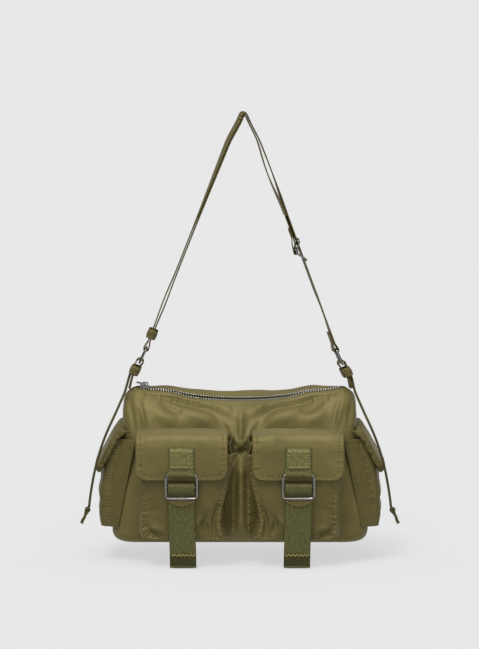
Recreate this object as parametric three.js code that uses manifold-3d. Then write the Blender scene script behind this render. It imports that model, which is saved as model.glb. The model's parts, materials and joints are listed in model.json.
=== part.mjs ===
// A soft nylon crossbody purse hanging by its webbing strap: a main compartment with a zipped top, two
// front pockets and two side pockets with flaps, buckles with webbing tails, and knotted side cords.
// Millimetres. +X is to the right seen from the front, -Y is the front and +Z is up. The origin is the
// underside of the strap's highest point, where the purse hangs.
import * as THREE from "three";
import { mergeVertices } from "three/addons/utils/BufferGeometryUtils.js";
import Module from "manifold-3d";

const wasm = await Module();
wasm.setup();

// ---- Driving dimensions ----
const GAP = 0.3; // between pieces that touch
const BAG_DROP = 426; // strap's top to the underside of the base
const BAG_SHIFT = -4; // the strap hangs a little off the bag's middle

const HALF_WIDTH = 126.5; // of the body at its widest, just above the base
const HALF_DEPTH = 45;
const WIDTH_TAPER = 8; // the body is this much narrower, each side, at the rim
const SHOULDER_DROP = 12.5; // the top corners round in by this much more
const CORNER_RADIUS = 24; // of the body's upright corners
const BASE_RADIUS = 14; // of the body's bottom edge
const WALL = 1.6; // cloth, padding and seam of one body panel
const BASE_THICKNESS = 2;
const BACK_LIFT = 17; // the back panel stands this much above the rim
const NOMINAL_HEIGHT = 145;

const ZIP_MIDDLE_HEIGHT = 138; // top of the teeth above the base, halfway along
const ZIP_RADIUS = 407; // the zip sags in an arc of this radius
const ZIP_HALF_LENGTH = 102;
const TEETH_STAND = 3; // teeth above the rim of the panels
const RIM_HALF_GAP = 7.9; // outer face of the rim from the zip's middle
const TEETH = { near: 2.6, far: 4.8, height: 2.7, reach: 100 };
const TAPE = { near: 5.1, far: 5.6, height: 10, reach: 90 };
const SLIDER_START = -95.5;

const PANEL_SPLIT = 103; // the front and back panels end here, and the end panels begin
const LINING = 0.8;
const LINING_FLOOR = 0.9;
const AROUND = { x: [-140, 140], y: [-60, 60], top: 200 }; // cutting blocks reach past the body

const WEB = 25; // width of the webbing on the flaps
const WEB_THICKNESS = 1.3;
const STRAP = 15;
const WIRE = 2.2; // of the rings and buckles
const HOOK_RADIUS = 2.45; // middle of a web turned round a wire

const POCKET_X = 58; // middle of a front flap, patch and buckle
const POCKET_FACE_Y = -74;
const CLOTH = 1.6;

const PEG_RADIUS = 3.5; // fold of the strap at its top
const RUN_OFFSET = 5.2; // middle of the doubled strap from the fold's centre
const LAYER = 0.9; // each layer of the doubled strap from its middle
const ANCHOR = { x: 110.3, z: 146.2, width: 12 }; // where a side anchor enters the body
const RING = { top: 257, length: 15.5, width: 18.6 }; // along the run from the fold's centre
const RIGHT_TWIST = THREE.MathUtils.degToRad(18); // the right ring hangs turned

const SIDES = [
  { name: "left", side: -1 },
  { name: "right", side: 1 },
];

// ---- Materials ----
const finish = (color, roughness, metalness) => () =>
  new THREE.MeshStandardMaterial({ color, roughness, metalness });
const nylon = finish(0x6b6440, 0.55, 0);
const liningCloth = finish(0x3e3a26, 0.8, 0);
const webbing = finish(0x4f5a35, 0.7, 0);
const tapeCloth = finish(0x57502f, 0.8, 0);
const nickel = finish(0x9a9a98, 0.3, 1);
const cordYarn = finish(0x59512f, 0.8, 0);

// ---- Helpers ----
const at = (x, y, z) => new THREE.Vector3(x, y, z);
const ALONG_Y = at(0, 1, 0);
const ALONG_X = at(1, 0, 0);

// Joins a row of outlines, each with the same number of points, into one closed solid.
function loft(outlines) {
  const count = outlines[0].length;
  const points = outlines.flat();
  const faces = [];
  for (let row = 0; row + 1 < outlines.length; row++)
    for (let i = 0; i < count; i++) {
      const a = row * count + i;
      const b = row * count + ((i + 1) % count);
      faces.push([a, b, b + count], [a, b + count, a + count]);
    }
  const close = (row, turned) => {
    const middle = new THREE.Vector3();
    outlines[row].forEach((p) => middle.addScaledVector(p, 1 / count));
    const centre = points.push(middle) - 1;
    for (let i = 0; i < count; i++) {
      const a = row * count + i;
      const b = row * count + ((i + 1) % count);
      faces.push(turned ? [centre, b, a] : [centre, a, b]);
    }
  };
  close(0, true);
  close(outlines.length - 1, false);
  const volume = faces.reduce(
    (sum, [a, b, c]) => sum + points[a].dot(at(0, 0, 0).crossVectors(points[b], points[c])),
    0,
  );
  const facing = volume < 0 ? faces.map(([a, b, c]) => [a, c, b]) : faces;
  const geometry = new THREE.BufferGeometry().setFromPoints(points);
  geometry.setIndex(facing.flat());
  return geometry;
}

function toSolid(geometry) {
  const bare = geometry.clone();
  bare.deleteAttribute("normal");
  bare.deleteAttribute("uv");
  const merged = mergeVertices(bare, 1e-4);
  return new wasm.Manifold(
    new wasm.Mesh({
      numProp: 3,
      vertProperties: merged.attributes.position.array,
      triVerts: new Uint32Array(merged.index.array),
    }),
  );
}

function toGeometry(solid) {
  const mesh = solid.getMesh();
  const geometry = new THREE.BufferGeometry();
  geometry.setAttribute("position", new THREE.BufferAttribute(mesh.vertProperties, 3));
  geometry.setIndex(new THREE.BufferAttribute(mesh.triVerts, 1));
  return geometry;
}

const join = (...geometries) =>
  toGeometry(geometries.map(toSolid).reduce((whole, piece) => whole.add(piece)));

function block([x0, x1], [y0, y1], [z0, z1]) {
  const geometry = new THREE.BoxGeometry(x1 - x0, y1 - y0, z1 - z0);
  return geometry.translate((x0 + x1) / 2, (y0 + y1) / 2, (z0 + z1) / 2);
}

// A flat shape drawn in X and Z, made solid from y0 to y1.
function plate(shape, y0, y1, curveSegments = 6) {
  const options = { depth: y1 - y0, bevelEnabled: false, curveSegments };
  const geometry = new THREE.ExtrudeGeometry(shape, options);
  return geometry.rotateX(Math.PI / 2).translate(0, y1, 0);
}

// A strip of cloth or webbing along a path of points, with its width along across.
function ribbon(path, width, thickness, across) {
  const outlines = path.map((point, i) => {
    const along = path[Math.min(i + 1, path.length - 1)]
      .clone()
      .sub(path[Math.max(i - 1, 0)])
      .normalize();
    const wide = Array.isArray(across) ? across[i] : across;
    const normal = along.cross(wide).normalize();
    const corner = (w, n) =>
      point
        .clone()
        .addScaledVector(wide, w * (width / 2))
        .addScaledVector(normal, n * (thickness / 2));
    return [corner(1, 1), corner(-1, 1), corner(-1, -1), corner(1, -1)];
  });
  return loft(outlines);
}

function roundedRectangle(width, height, radius, path = new THREE.Shape()) {
  const x = width / 2 - radius;
  const y = height / 2 - radius;
  path.absarc(x, -y, radius, -Math.PI / 2, 0, false);
  path.absarc(x, y, radius, 0, Math.PI / 2, false);
  path.absarc(-x, y, radius, Math.PI / 2, Math.PI, false);
  path.absarc(-x, -y, radius, Math.PI, 1.5 * Math.PI, false);
  path.closePath();
  return path;
}

const shiftPath = (path, dx, dy) =>
  new THREE.Path(path.getPoints(3).map((p) => new THREE.Vector2(p.x + dx, p.y + dy)));

// Points on a circle arc, with angles in degrees and each point made by place(cosine, sine).
function arc(from, to, steps, place) {
  return Array.from({ length: steps + 1 }, (_, i) => {
    const angle = THREE.MathUtils.degToRad(from + ((to - from) * i) / steps);
    return place(Math.cos(angle), Math.sin(angle));
  });
}

const smooth = (points, steps) => new THREE.CatmullRomCurve3(points).getPoints(steps);

function add(group, name, geometry, material) {
  const mesh = new THREE.Mesh(geometry, material());
  mesh.name = name;
  group.add(mesh);
  return mesh;
}

// ---- The body's outer surface ----
const zipHeight = (x) => {
  const inside = Math.min(Math.abs(x), ZIP_HALF_LENGTH);
  return ZIP_MIDDLE_HEIGHT + ZIP_RADIUS - Math.sqrt(ZIP_RADIUS ** 2 - inside ** 2);
};

const baseInset = (z) =>
  z < BASE_RADIUS ? BASE_RADIUS - Math.sqrt(BASE_RADIUS ** 2 - (BASE_RADIUS - z) ** 2) : 0;

// Half the body's width and its front and back depths at height t, from 0 at the base to 1 at the rim.
function bodySize(t, grow) {
  const inset = baseInset(t * NOMINAL_HEIGHT);
  const depth = (power, root) =>
    RIM_HALF_GAP + (HALF_DEPTH - RIM_HALF_GAP) * (1 - t ** power) ** root - inset + grow;
  return {
    width: HALF_WIDTH - WIDTH_TAPER * t - SHOULDER_DROP * t ** 12 - inset + grow,
    front: depth(3.2, 0.75),
    back: depth(8, 0.6),
  };
}

// One level of the body: straight front and back edges with round corners.
function bodyOutline(t, grow, shift = 0) {
  const { width, front, back } = bodySize(t, grow);
  const straight = 8;
  const corner = 5;
  const frontRadius = Math.min(CORNER_RADIUS, 0.9 * front);
  const backRadius = Math.min(CORNER_RADIUS, 0.9 * back);
  const flat = [];
  const edge = (half, y) => {
    for (let i = 1; i < straight; i++) flat.push([-half + (2 * half * i) / straight, y]);
  };
  const turn = (from, cx, cy, radius) =>
    flat.push(
      ...arc(from, from + 90, corner, (c, s) => [cx + radius * c, cy + radius * s]),
    );
  edge(width - frontRadius, -front);
  turn(-90, width - frontRadius, -front + frontRadius, frontRadius);
  turn(0, width - backRadius, back - backRadius, backRadius);
  edge(-(width - backRadius), back);
  turn(90, -(width - backRadius), back - backRadius, backRadius);
  turn(180, -(width - frontRadius), -front + frontRadius, frontRadius);
  return flat.map(([x, y]) => {
    const behind = THREE.MathUtils.smoothstep(y, RIM_HALF_GAP, 0.7 * HALF_DEPTH);
    const lift = BACK_LIFT * behind * t ** 4 * Math.max(0, 1 - (x / HALF_WIDTH) ** 2);
    return at(x, y, t * (zipHeight(x) - TEETH_STAND) + lift + shift);
  });
}

// The body as one solid, grown or shrunk by grow, and longer by over at both ends.
function bodySolid(grow, over = 0) {
  const rows = 13;
  const levels = Array.from(
    { length: rows + 1 },
    (_, i) => (1 - Math.cos((Math.PI * i) / rows)) / 2,
  );
  const outlines = levels.map((t) => bodyOutline(t, grow));
  if (over) {
    outlines.unshift(bodyOutline(0, grow, -over));
    outlines.push(bodyOutline(1, grow, over));
  }
  return toSolid(loft(outlines));
}

const bodyClear = bodySolid(GAP);
const trimmedToBody = (geometry) => toGeometry(toSolid(geometry).subtract(bodyClear));

// ---- Body panels, base and lining ----
function buildBody(bag) {
  const shell = bodySolid(0).subtract(bodySolid(-WALL, 2));
  const floorTop = BASE_THICKNESS + GAP;
  const within = (xs, ys, zs) => toSolid(block(xs, ys, zs));
  const cut = (xs, ys) => toGeometry(shell.intersect(within(xs, ys, [floorTop, AROUND.top])));
  const [leftmost, rightmost] = AROUND.x;
  const [foremost, hindmost] = AROUND.y;
  add(bag, "front_panel", cut([-PANEL_SPLIT, PANEL_SPLIT], [foremost, 0]), nylon);
  add(bag, "back_panel", cut([-PANEL_SPLIT, PANEL_SPLIT], [0, hindmost]), nylon);
  add(bag, "left_end_panel", cut([leftmost, -PANEL_SPLIT - GAP], AROUND.y), nylon);
  add(bag, "right_end_panel", cut([PANEL_SPLIT + GAP, rightmost], AROUND.y), nylon);

  const slab = within(AROUND.x, AROUND.y, [-1, BASE_THICKNESS]);
  add(bag, "base_panel", toGeometry(bodySolid(0).intersect(slab)), nylon);

  // The lining is a bowl inside the panels, cut back where the zip's tapes hang into it.
  const outside = bodySolid(-WALL - 2 * GAP);
  const inside = bodySolid(-WALL - 2 * GAP - LINING, 3);
  const mouth = toSolid(zipBand(-9, TAPE.height + 1, -8.5, 8.5, PANEL_SPLIT));
  const walls = outside
    .subtract(inside)
    .intersect(within(AROUND.x, AROUND.y, [floorTop, AROUND.top]))
    .subtract(mouth);
  const floor = within(AROUND.x, AROUND.y, [floorTop, floorTop + LINING_FLOOR]);
  const bowl = walls.add(floor.intersect(outside));
  add(bag, "lining", toGeometry(bowl), liningCloth);
}

// ---- Zip ----
// A band that follows the zip's arc from high to low under the top of the teeth, with the arc's middle up.
function zipBand(high, low, near, far, halfLength) {
  const reach = Math.asin(halfLength / ZIP_RADIUS);
  const down = -Math.PI / 2;
  const shape = new THREE.Shape();
  shape.absarc(0, 0, ZIP_RADIUS + high, down - reach, down + reach, false);
  shape.absarc(0, 0, ZIP_RADIUS + low, down + reach, down - reach, true);
  shape.closePath();
  return plate(shape, near, far, 12).translate(0, 0, ZIP_MIDDLE_HEIGHT + ZIP_RADIUS);
}

function buildZip(bag) {
  for (const [name, sign] of [
    ["front", -1],
    ["back", 1],
  ]) {
    const strip = ({ near, far, height, reach }, high) => {
      const [from, to] = [sign * near, sign * far].sort((a, b) => a - b);
      return zipBand(high, height, from, to, reach);
    };
    add(bag, `zip_tape_${name}`, strip(TAPE, GAP), tapeCloth);
    add(bag, `zip_teeth_${name}`, strip(TEETH, 0), nickel);
  }

  const slider = new THREE.Group();
  slider.position.set(SLIDER_START, 0, zipHeight(SLIDER_START));
  slider.rotation.y = -Math.asin(SLIDER_START / ZIP_RADIUS);
  bag.add(slider);
  const half = 4.8;
  const under = -TEETH.height - GAP;
  const bridge = new THREE.Shape();
  bridge.moveTo(-3.6, 1.5).lineTo(3.6, 1.5).lineTo(2.6, 5).lineTo(-2.6, 5).closePath();
  const eye = new THREE.Path();
  eye.moveTo(-1.9, 1.65).lineTo(-1.5, 3.9).lineTo(1.5, 3.9).lineTo(1.9, 1.65).closePath();
  bridge.holes.push(eye);
  add(
    slider,
    "zip_slider",
    join(
      block([-half, half], [-half, half], [GAP, 1.6]),
      block([-half, half], [-half, half], [under - 1.3, under]),
      block([-1.5, 1.5], [-1.8, 1.8], [under - 0.5, 0.5]),
      plate(bridge, -1.1, 1.1),
    ),
    nickel,
  );
  // The puller is a flat tab with an eye that hangs on the slider's bridge and lies over the zip's end.
  const tab = roundedRectangle(9.6, 5, 1.8);
  tab.holes.push(shiftPath(roundedRectangle(2.8, 3, 0.8, new THREE.Path()), 1.9, 0));
  const puller = new THREE.ExtrudeGeometry(tab, {
    depth: 1,
    bevelEnabled: false,
    curveSegments: 3,
  });
  add(slider, "zip_puller", puller.translate(-4.3, 0, 2.2), nickel);
}

// ---- Front pockets ----
// The outline of a front pocket, open at the top: down the outer edge, round the corner, along the bottom
// and up the inner edge, which is pinched in where the gusset folds.
function pocketOutline({ outer, low, innerLow, innerPinch, innerTop }) {
  const radius = 9;
  return [
    [outer, 92],
    [outer, 60],
    [outer, low + radius],
    ...arc(0, -90, 4, (c, s) => [outer - radius + radius * c, low + radius + radius * s]),
    [innerLow, low],
    [innerPinch, 33],
    [innerTop, 92],
  ];
}

const POCKET_FRONT = { outer: 97, low: 5, innerLow: 14, innerPinch: 20, innerTop: 6.5 };
const POCKET_BACK = { outer: 107, low: 3.5, innerLow: 9, innerPinch: 9, innerTop: 6 };

function buildPocketShell(bag, { name, side }) {
  const outline = pocketOutline(POCKET_FRONT);
  const shape = new THREE.Shape(outline.map(([x, z]) => new THREE.Vector2(side * x, z)));
  add(bag, `${name}_pocket_face`, plate(shape, POCKET_FACE_Y, POCKET_FACE_Y + CLOTH), nylon);

  const thin = 1.4;
  const inward = (points, i) => {
    const [x0, z0] = points[Math.max(i - 1, 0)];
    const [x1, z1] = points[Math.min(i + 1, points.length - 1)];
    const length = Math.hypot(x1 - x0, z1 - z0);
    return [(z1 - z0) / length, -(x1 - x0) / length];
  };
  const back = pocketOutline(POCKET_BACK);
  const frontY = POCKET_FACE_Y + CLOTH + GAP;
  const backY = -28;
  const sections = outline.map(([x, z], i) => {
    const [nx, nz] = inward(outline, i);
    const [bx, bz] = back[i];
    return [
      at(side * x, frontY, z),
      at(side * bx, backY, bz),
      at(side * (bx + thin * nx), backY, bz + thin * nz),
      at(side * (x + thin * nx), frontY, z + thin * nz),
    ];
  });
  add(bag, `${name}_pocket_gusset`, trimmedToBody(loft(sections)), nylon);
}

const FLAP = { inner: 12, outer: 104, front: -78.9, low: 67.5, radius: 10, thickness: 2 };
// From its seam on the body, over the pocket's mouth and down the front, as depths and heights.
const FLAP_PROFILE = [
  [-33.2, 112.5],
  [-50, 116],
  [-66, 116.2],
  [-75.4, 112.4],
  [-78.6, 104.5],
  [FLAP.front, 95],
  [FLAP.front, 80],
  [FLAP.front, FLAP.low],
];

function buildFlap(bag, { name, side }) {
  const profile = smooth(FLAP_PROFILE.map(([y, z]) => at(0, y, z)), 22);
  const end = profile[profile.length - 1];
  const sections = profile.map((point, i) => {
    const along = profile[Math.min(i + 1, profile.length - 1)]
      .clone()
      .sub(profile[Math.max(i - 1, 0)])
      .normalize();
    const normal = at(0, -along.z, along.y).multiplyScalar(FLAP.thickness / 2);
    const left = Math.min(point.distanceTo(end), FLAP.radius);
    const inset = FLAP.radius - Math.sqrt(FLAP.radius ** 2 - (FLAP.radius - left) ** 2);
    const corner = (x, sign) => point.clone().addScaledVector(normal, sign).setX(side * x);
    const from = FLAP.inner + inset;
    const to = FLAP.outer - inset;
    return [corner(from, 1), corner(to, 1), corner(to, -1), corner(from, -1)];
  });
  add(bag, `${name}_front_flap`, loft(sections), nylon);
}

const BUCKLE = { width: 33, y: -84.2, top: 74, middle: 62, bottom: 50 };

// A rectangular wire frame in X and Z with a middle bar.
function buckleFrame(x) {
  const height = BUCKLE.top - BUCKLE.bottom + WIRE;
  const middle = (BUCKLE.top + BUCKLE.bottom) / 2;
  const frame = roundedRectangle(BUCKLE.width, height, 4);
  const windowHeight = BUCKLE.top - BUCKLE.middle - WIRE;
  const window = roundedRectangle(BUCKLE.width - 2 * WIRE, windowHeight, 1.5, new THREE.Path());
  const step = (BUCKLE.top - BUCKLE.middle) / 2;
  frame.holes.push(shiftPath(window, 0, step), shiftPath(window, 0, -step));
  return plate(frame, BUCKLE.y - WIRE / 2, BUCKLE.y + WIRE / 2, 4).translate(x, 0, middle);
}

const PATCH = { top: 100, low: 81 };
const TAIL = { hinge: 41.8, bottom: -20, clearance: 0.7 };
const TAB = { half: 13.2, middle: 46.6, rise: 3.6, fall: 6.8, thickness: 1.4 };
const SNAP = { height: 84, radius: 7, stud: 1.4, socket: 1.5 };

function buildFlapHardware(bag, { name, side }) {
  const x = side * POCKET_X;
  const hook = (z, from, to, steps) =>
    arc(from, to, steps, (c, s) => at(x, BUCKLE.y + HOOK_RADIUS * c, z + HOOK_RADIUS * s));

  const patchY = FLAP.front - FLAP.thickness / 2 - GAP - WEB_THICKNESS / 2;
  const patch = [
    at(x, patchY, PATCH.top),
    at(x, patchY, PATCH.low),
    ...hook(BUCKLE.top, 60, 325, 12),
  ];
  add(bag, `${name}_flap_webbing`, ribbon(patch, WEB, WEB_THICKNESS, ALONG_X), webbing);
  add(bag, `${name}_buckle`, buckleFrame(x), nickel);

  const upperTail = [
    ...hook(BUCKLE.middle, 0, 185, 9),
    at(x, -86.1, 57.6),
    at(x, -83.7, 54.4),
    at(x, -82.1, 51.4),
    at(x, -81.6, 48),
    at(x, -81.5, TAIL.hinge + TAIL.clearance),
  ];
  add(bag, `${name}_tail_wrap`, ribbon(upperTail, WEB, WEB_THICKNESS, ALONG_X), webbing);

  // A lens-shaped tab of the bag's cloth is sewn over the web below the buckle.
  const tab = new THREE.Shape();
  tab.moveTo(-TAB.half, TAB.middle);
  tab.quadraticCurveTo(0, TAB.middle + TAB.rise, TAB.half, TAB.middle);
  tab.quadraticCurveTo(0, TAB.middle - TAB.fall, -TAB.half, TAB.middle);
  const tabBack = -81.6 - WEB_THICKNESS / 2 - GAP;
  const tabSolid = plate(tab, tabBack - TAB.thickness, tabBack).translate(x, 0, 0);
  add(bag, `${name}_tail_tab`, tabSolid, nylon);

  const tail = [
    at(x, -81.5, TAIL.hinge - TAIL.clearance),
    at(x, -80.6, 25),
    at(x, -79.8, 5),
    at(x, -79.6, TAIL.bottom),
  ];
  add(bag, `${name}_webbing_tail`, ribbon(tail, WEB, WEB_THICKNESS, ALONG_X), webbing);

  // A hidden magnetic snap holds the flap to the pocket's face.
  const disc = (front, depth) =>
    new THREE.CylinderGeometry(SNAP.radius, SNAP.radius, depth, 20).translate(
      x,
      front + depth / 2,
      SNAP.height,
    );
  const studFront = FLAP.front + FLAP.thickness / 2 + GAP;
  const socketFront = POCKET_FACE_Y - GAP - SNAP.socket;
  add(bag, `${name}_snap_stud`, disc(studFront, SNAP.stud), nickel);
  add(bag, `${name}_snap_socket`, disc(socketFront, SNAP.socket), nickel);
}

// ---- Side pockets ----
const SIDE_POCKET = { halfDepth: 38, top: 101, low: 14, inner: 106.5 };
const SIDE_SNAP = { x: 137.1, z: 76, slope: 21, radius: 6, depth: 1.2 };
// The pocket's bulging outer face, from its mouth down, as distances from the bag's middle and heights.
const SIDE_FACE = [
  [124.2, 101],
  [131.5, 90],
  [138, 73],
  [141.6, 54],
  [141.8, 36],
  [139, 16],
];
// The flap over it, from its seam on the body, over its peak and down.
const SIDE_FLAP = [
  [121.6, 112.5],
  [125.5, 114.4],
  [131.5, 107.5],
  [138.5, 93],
  [144.6, 77],
  [144.2, 66],
];

function buildSidePocket(bag, { name, side }) {
  const curve = (list, steps) => smooth(list.map(([x, z]) => at(side * x, 0, z)), steps);
  const facePath = curve(SIDE_FACE, 12);
  const faceDepth = 2 * (SIDE_POCKET.halfDepth - CLOTH - GAP);
  add(bag, `${name}_side_face`, ribbon(facePath, faceDepth, CLOTH, ALONG_Y), nylon);

  // The gusset is the front, bottom and back of the pocket in one strip.
  const outer = facePath.map((p) => new THREE.Vector2(p.x + side * 0.8, p.z));
  const { inner, top, low } = SIDE_POCKET;
  const wall = new THREE.Shape([
    new THREE.Vector2(side * inner, top + 1),
    ...outer,
    new THREE.Vector2(side * 138, low),
    new THREE.Vector2(side * inner, low),
  ]);
  const half = SIDE_POCKET.halfDepth;
  const xs = [side * inner, side * 138.3].sort((a, b) => a - b);
  const strip = join(
    plate(wall, -half, -half + CLOTH),
    plate(wall, half - CLOTH, half),
    block(xs, [-half, half], [low, low + 1.4]),
  );
  add(bag, `${name}_side_gusset`, trimmedToBody(strip), nylon);

  const flapPath = curve(SIDE_FLAP, 14);
  const flap = ribbon(flapPath, 78, 1.8, ALONG_Y);
  add(bag, `${name}_side_flap`, flap, nylon);

  // The side flap's snap, on the slope where the flap lies closest to the face.
  const snap = new THREE.Group();
  snap.position.set(side * SIDE_SNAP.x, 0, SIDE_SNAP.z);
  snap.rotation.y = side * THREE.MathUtils.degToRad(90 - SIDE_SNAP.slope);
  bag.add(snap);
  const { radius, depth } = SIDE_SNAP;
  const disc = (height) =>
    new THREE.CylinderGeometry(radius, radius, depth, 16)
      .rotateX(Math.PI / 2)
      .translate(0, 0, height);
  add(snap, `${name}_side_snap_socket`, disc(1.9), nickel);
  add(snap, `${name}_side_snap_stud`, disc(3.5), nickel);
}

// ---- Strap runs, from the fold at the top down to the bag's top corners ----
const FOLD_CENTRE = at(0, 0, -PEG_RADIUS);

function makeRun(side) {
  const root = at(BAG_SHIFT + side * ANCHOR.x, 0, ANCHOR.z - BAG_DROP).sub(FOLD_CENTRE);
  const reach = root.length();
  const tilt = Math.atan2(Math.abs(root.x), -root.z) - Math.asin(RUN_OFFSET / reach);
  return {
    side,
    length: Math.sqrt(reach ** 2 - RUN_OFFSET ** 2),
    tilt,
    down: at(side * Math.sin(tilt), 0, -Math.cos(tilt)),
    outward: at(side * Math.cos(tilt), 0, Math.sin(tilt)),
  };
}

const RUNS = { left: makeRun(-1), right: makeRun(1) };

const twistAt = (run, s) =>
  run.side > 0 ? RIGHT_TWIST * THREE.MathUtils.smoothstep(s, 195, 240) : 0;

// A point of the strap: s along the run, offset outward from the middle of the doubled strap.
function strapPoint(run, s, offset) {
  const middle = FOLD_CENTRE.clone()
    .addScaledVector(run.outward, RUN_OFFSET)
    .addScaledVector(run.down, s);
  const twist = twistAt(run, s);
  const turned = (vector, other, amount) =>
    vector.clone().multiplyScalar(Math.cos(twist)).addScaledVector(other, amount);
  const out = turned(run.outward, ALONG_Y, Math.sin(twist));
  const across = turned(ALONG_Y, run.outward, -Math.sin(twist));
  return { point: middle.addScaledVector(out, offset), across };
}

// The web round a ring's top bar, from its outer layer to its inner one.
function ringLoop(run) {
  const widen = [
    [RING.top - 7, LAYER],
    [RING.top - 3, 1.9],
  ];
  const turn = arc(0, 180, 8, (c, s) => [RING.top + HOOK_RADIUS * s, HOOK_RADIUS * c]);
  const back = widen.map(([s, offset]) => [s, -offset]).reverse();
  return [...widen, ...turn, ...back].map(([s, offset]) => strapPoint(run, s, offset));
}

function foldArc(radius) {
  const left = THREE.MathUtils.radToDeg(RUNS.left.tilt);
  const right = THREE.MathUtils.radToDeg(RUNS.right.tilt);
  return arc(right, 180 - left, 8, (c, s) => ({
    point: FOLD_CENTRE.clone().add(at(radius * c, 0, radius * s)),
    across: ALONG_Y.clone(),
  }));
}

const SEWN_END = 238; // top of the sewn end above the right ring
const INNER_END = 108; // lower end of the inner layer on the right
const ADJUSTER = 146; // middle bar of the adjuster

function buildStrap(whole) {
  const { left, right } = RUNS;
  const rightLoop = ringLoop(right);
  const run = (side, from, to, step, offset) => {
    const places = [];
    for (let s = from; s <= to; s += step) places.push(strapPoint(side, s, offset));
    return places;
  };
  const path = [
    strapPoint(right, SEWN_END, -LAYER),
    ...[...rightLoop].reverse(),
    ...run(right, 195, 235, 10, LAYER).reverse(),
    strapPoint(right, 8, LAYER),
    ...foldArc(RUN_OFFSET + LAYER),
    strapPoint(left, 8, LAYER),
    ...ringLoop(left),
    strapPoint(left, 8, -LAYER),
    ...foldArc(RUN_OFFSET - LAYER).reverse(),
    strapPoint(right, 8, -LAYER),
    strapPoint(right, INNER_END, -LAYER),
  ];
  const points = path.map((place) => place.point);
  const across = path.map((place) => place.across);
  add(whole, "shoulder_strap", ribbon(points, STRAP, WEB_THICKNESS, across), webbing);
}

// A group whose -Z runs down a strap run and whose X points outward from the doubled strap's middle.
function runGroup(whole, run, twist = 0) {
  const outer = new THREE.Group();
  outer.position.copy(FOLD_CENTRE);
  outer.rotation.y = -run.side * run.tilt;
  const inner = new THREE.Group();
  inner.position.x = run.side * RUN_OFFSET;
  inner.rotation.z = run.side * twist;
  outer.add(inner);
  whole.add(outer);
  return inner;
}

function buildAdjuster(whole) {
  const group = runGroup(whole, RUNS.right);
  const bar = 1.8;
  const half = 12;
  const straight = WEB_THICKNESS / 2 + LAYER + GAP; // outer face of the strap's outer layer, and room
  const outside = [straight, straight + bar];
  const inside = [-4.4, -4.4 + bar];
  const low = -ADJUSTER - half;
  const high = -ADJUSTER + half;
  const rail = (ys) => block([inside[0], outside[1]], ys, [low, high]);
  add(
    group,
    "strap_adjuster",
    join(
      rail([-10, -8]),
      rail([8, 10]),
      block(outside, [-9, 9], [low, low + bar]),
      block(outside, [-9, 9], [high - bar, high]),
      block(inside, [-9, 9], [-ADJUSTER - bar / 2, -ADJUSTER + bar / 2]),
    ),
    nickel,
  );
  // The sewn end of the strap goes round the adjuster's middle bar and back over itself.
  const centre = inside[0] + bar / 2;
  const turn = arc(60, -180, 9, (c, s) => at(centre + 2.05 * c, 0, -ADJUSTER + 2.05 * s));
  const end = [
    at(-LAYER - 0.1, 0, -INNER_END - 0.5),
    at(-LAYER - 0.1, 0, -INNER_END - 20),
    at(-1.7, 0, -ADJUSTER + 8),
    ...turn,
    at(-4.2, 0, -ADJUSTER + 9),
    at(-2.6, 0, -ADJUSTER + 15),
    at(-2.6, 0, -ADJUSTER + 24),
  ];
  add(group, "strap_sewn_end", ribbon(end, STRAP, 1.1, ALONG_Y), webbing);
}

// A soft sleeve that is wrapped round the doubled strap or anchor.
function keeper(middle, length) {
  const sleeve = roundedRectangle(10, 18, 3.5);
  sleeve.holes.push(roundedRectangle(7.4, 15.6, 2.4, new THREE.Path()));
  const options = { depth: length, bevelEnabled: false, curveSegments: 4 };
  return new THREE.ExtrudeGeometry(sleeve, options).translate(0, 0, -middle - length / 2);
}

const KEEPER = { upper: 241.5, lower: 281.8, length: 8.6 };

function buildSideHardware(whole, { name, side }) {
  const run = RUNS[name];
  const group = runGroup(whole, run, side > 0 ? RIGHT_TWIST : 0);

  const wide = RING.width + WIRE;
  const long = RING.length + WIRE;
  const frame = roundedRectangle(long, wide, 3.2);
  frame.holes.push(roundedRectangle(long - 2 * WIRE, wide - 2 * WIRE, 1, new THREE.Path()));
  const options = { depth: WIRE, bevelEnabled: false, curveSegments: 4 };
  const ring = new THREE.ExtrudeGeometry(frame, options).translate(0, 0, -WIRE / 2);
  ring.rotateY(Math.PI / 2).translate(0, 0, -RING.top - RING.length / 2);
  add(group, `${name}_ring`, ring, nickel);

  // The anchor goes from the body's corner, over the ring's lower bar and back to the corner.
  const bar = -RING.top - RING.length;
  const legs = [
    [LAYER, 2 - run.length],
    [LAYER, bar - 10],
    [2.4, bar - 5.5],
  ];
  const turn = arc(0, 180, 8, (c, s) => [4 * c, bar + 4 * s]);
  const back = legs.map(([x, z]) => [-x, z]).reverse();
  const path = [...legs, ...turn, ...back].map(([x, z]) => at(x, 0, z));
  add(group, `${name}_anchor`, ribbon(path, ANCHOR.width, WEB_THICKNESS, ALONG_Y), webbing);

  add(group, `${name}_lower_keeper`, keeper(KEEPER.lower, KEEPER.length), nylon);
  if (side < 0) add(group, "left_upper_keeper", keeper(KEEPER.upper, KEEPER.length), nylon);
}

// ---- Side cords ----
// The left cord's route from under its keeper, forward past the side flap's front edge and down, in the
// bag's own frame. The right cord mirrors it.
const CORD_RADIUS = 1.25;
const CORD_ROUTE = [
  [-114.6, -10, 147.5],
  [-116.9, -15.5, 142],
  [-119.6, -21, 136.5],
  [-122.3, -26.5, 131],
  [-125, -32, 125.5],
  [-130.4, -41.2, 114.8],
  [-135, -43.6, 104],
  [-139.2, -44.4, 92],
  [-142.9, -44.2, 79],
  [-145.8, -43.9, 66],
  [-148.1, -43.6, 53],
  [-149.7, -43.4, 42],
  [-150.4, -43.3, 35.6],
];
const KNOT = { tilt: 24, radius: 3.1, length: 9.5, tail: 8.5 };

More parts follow.
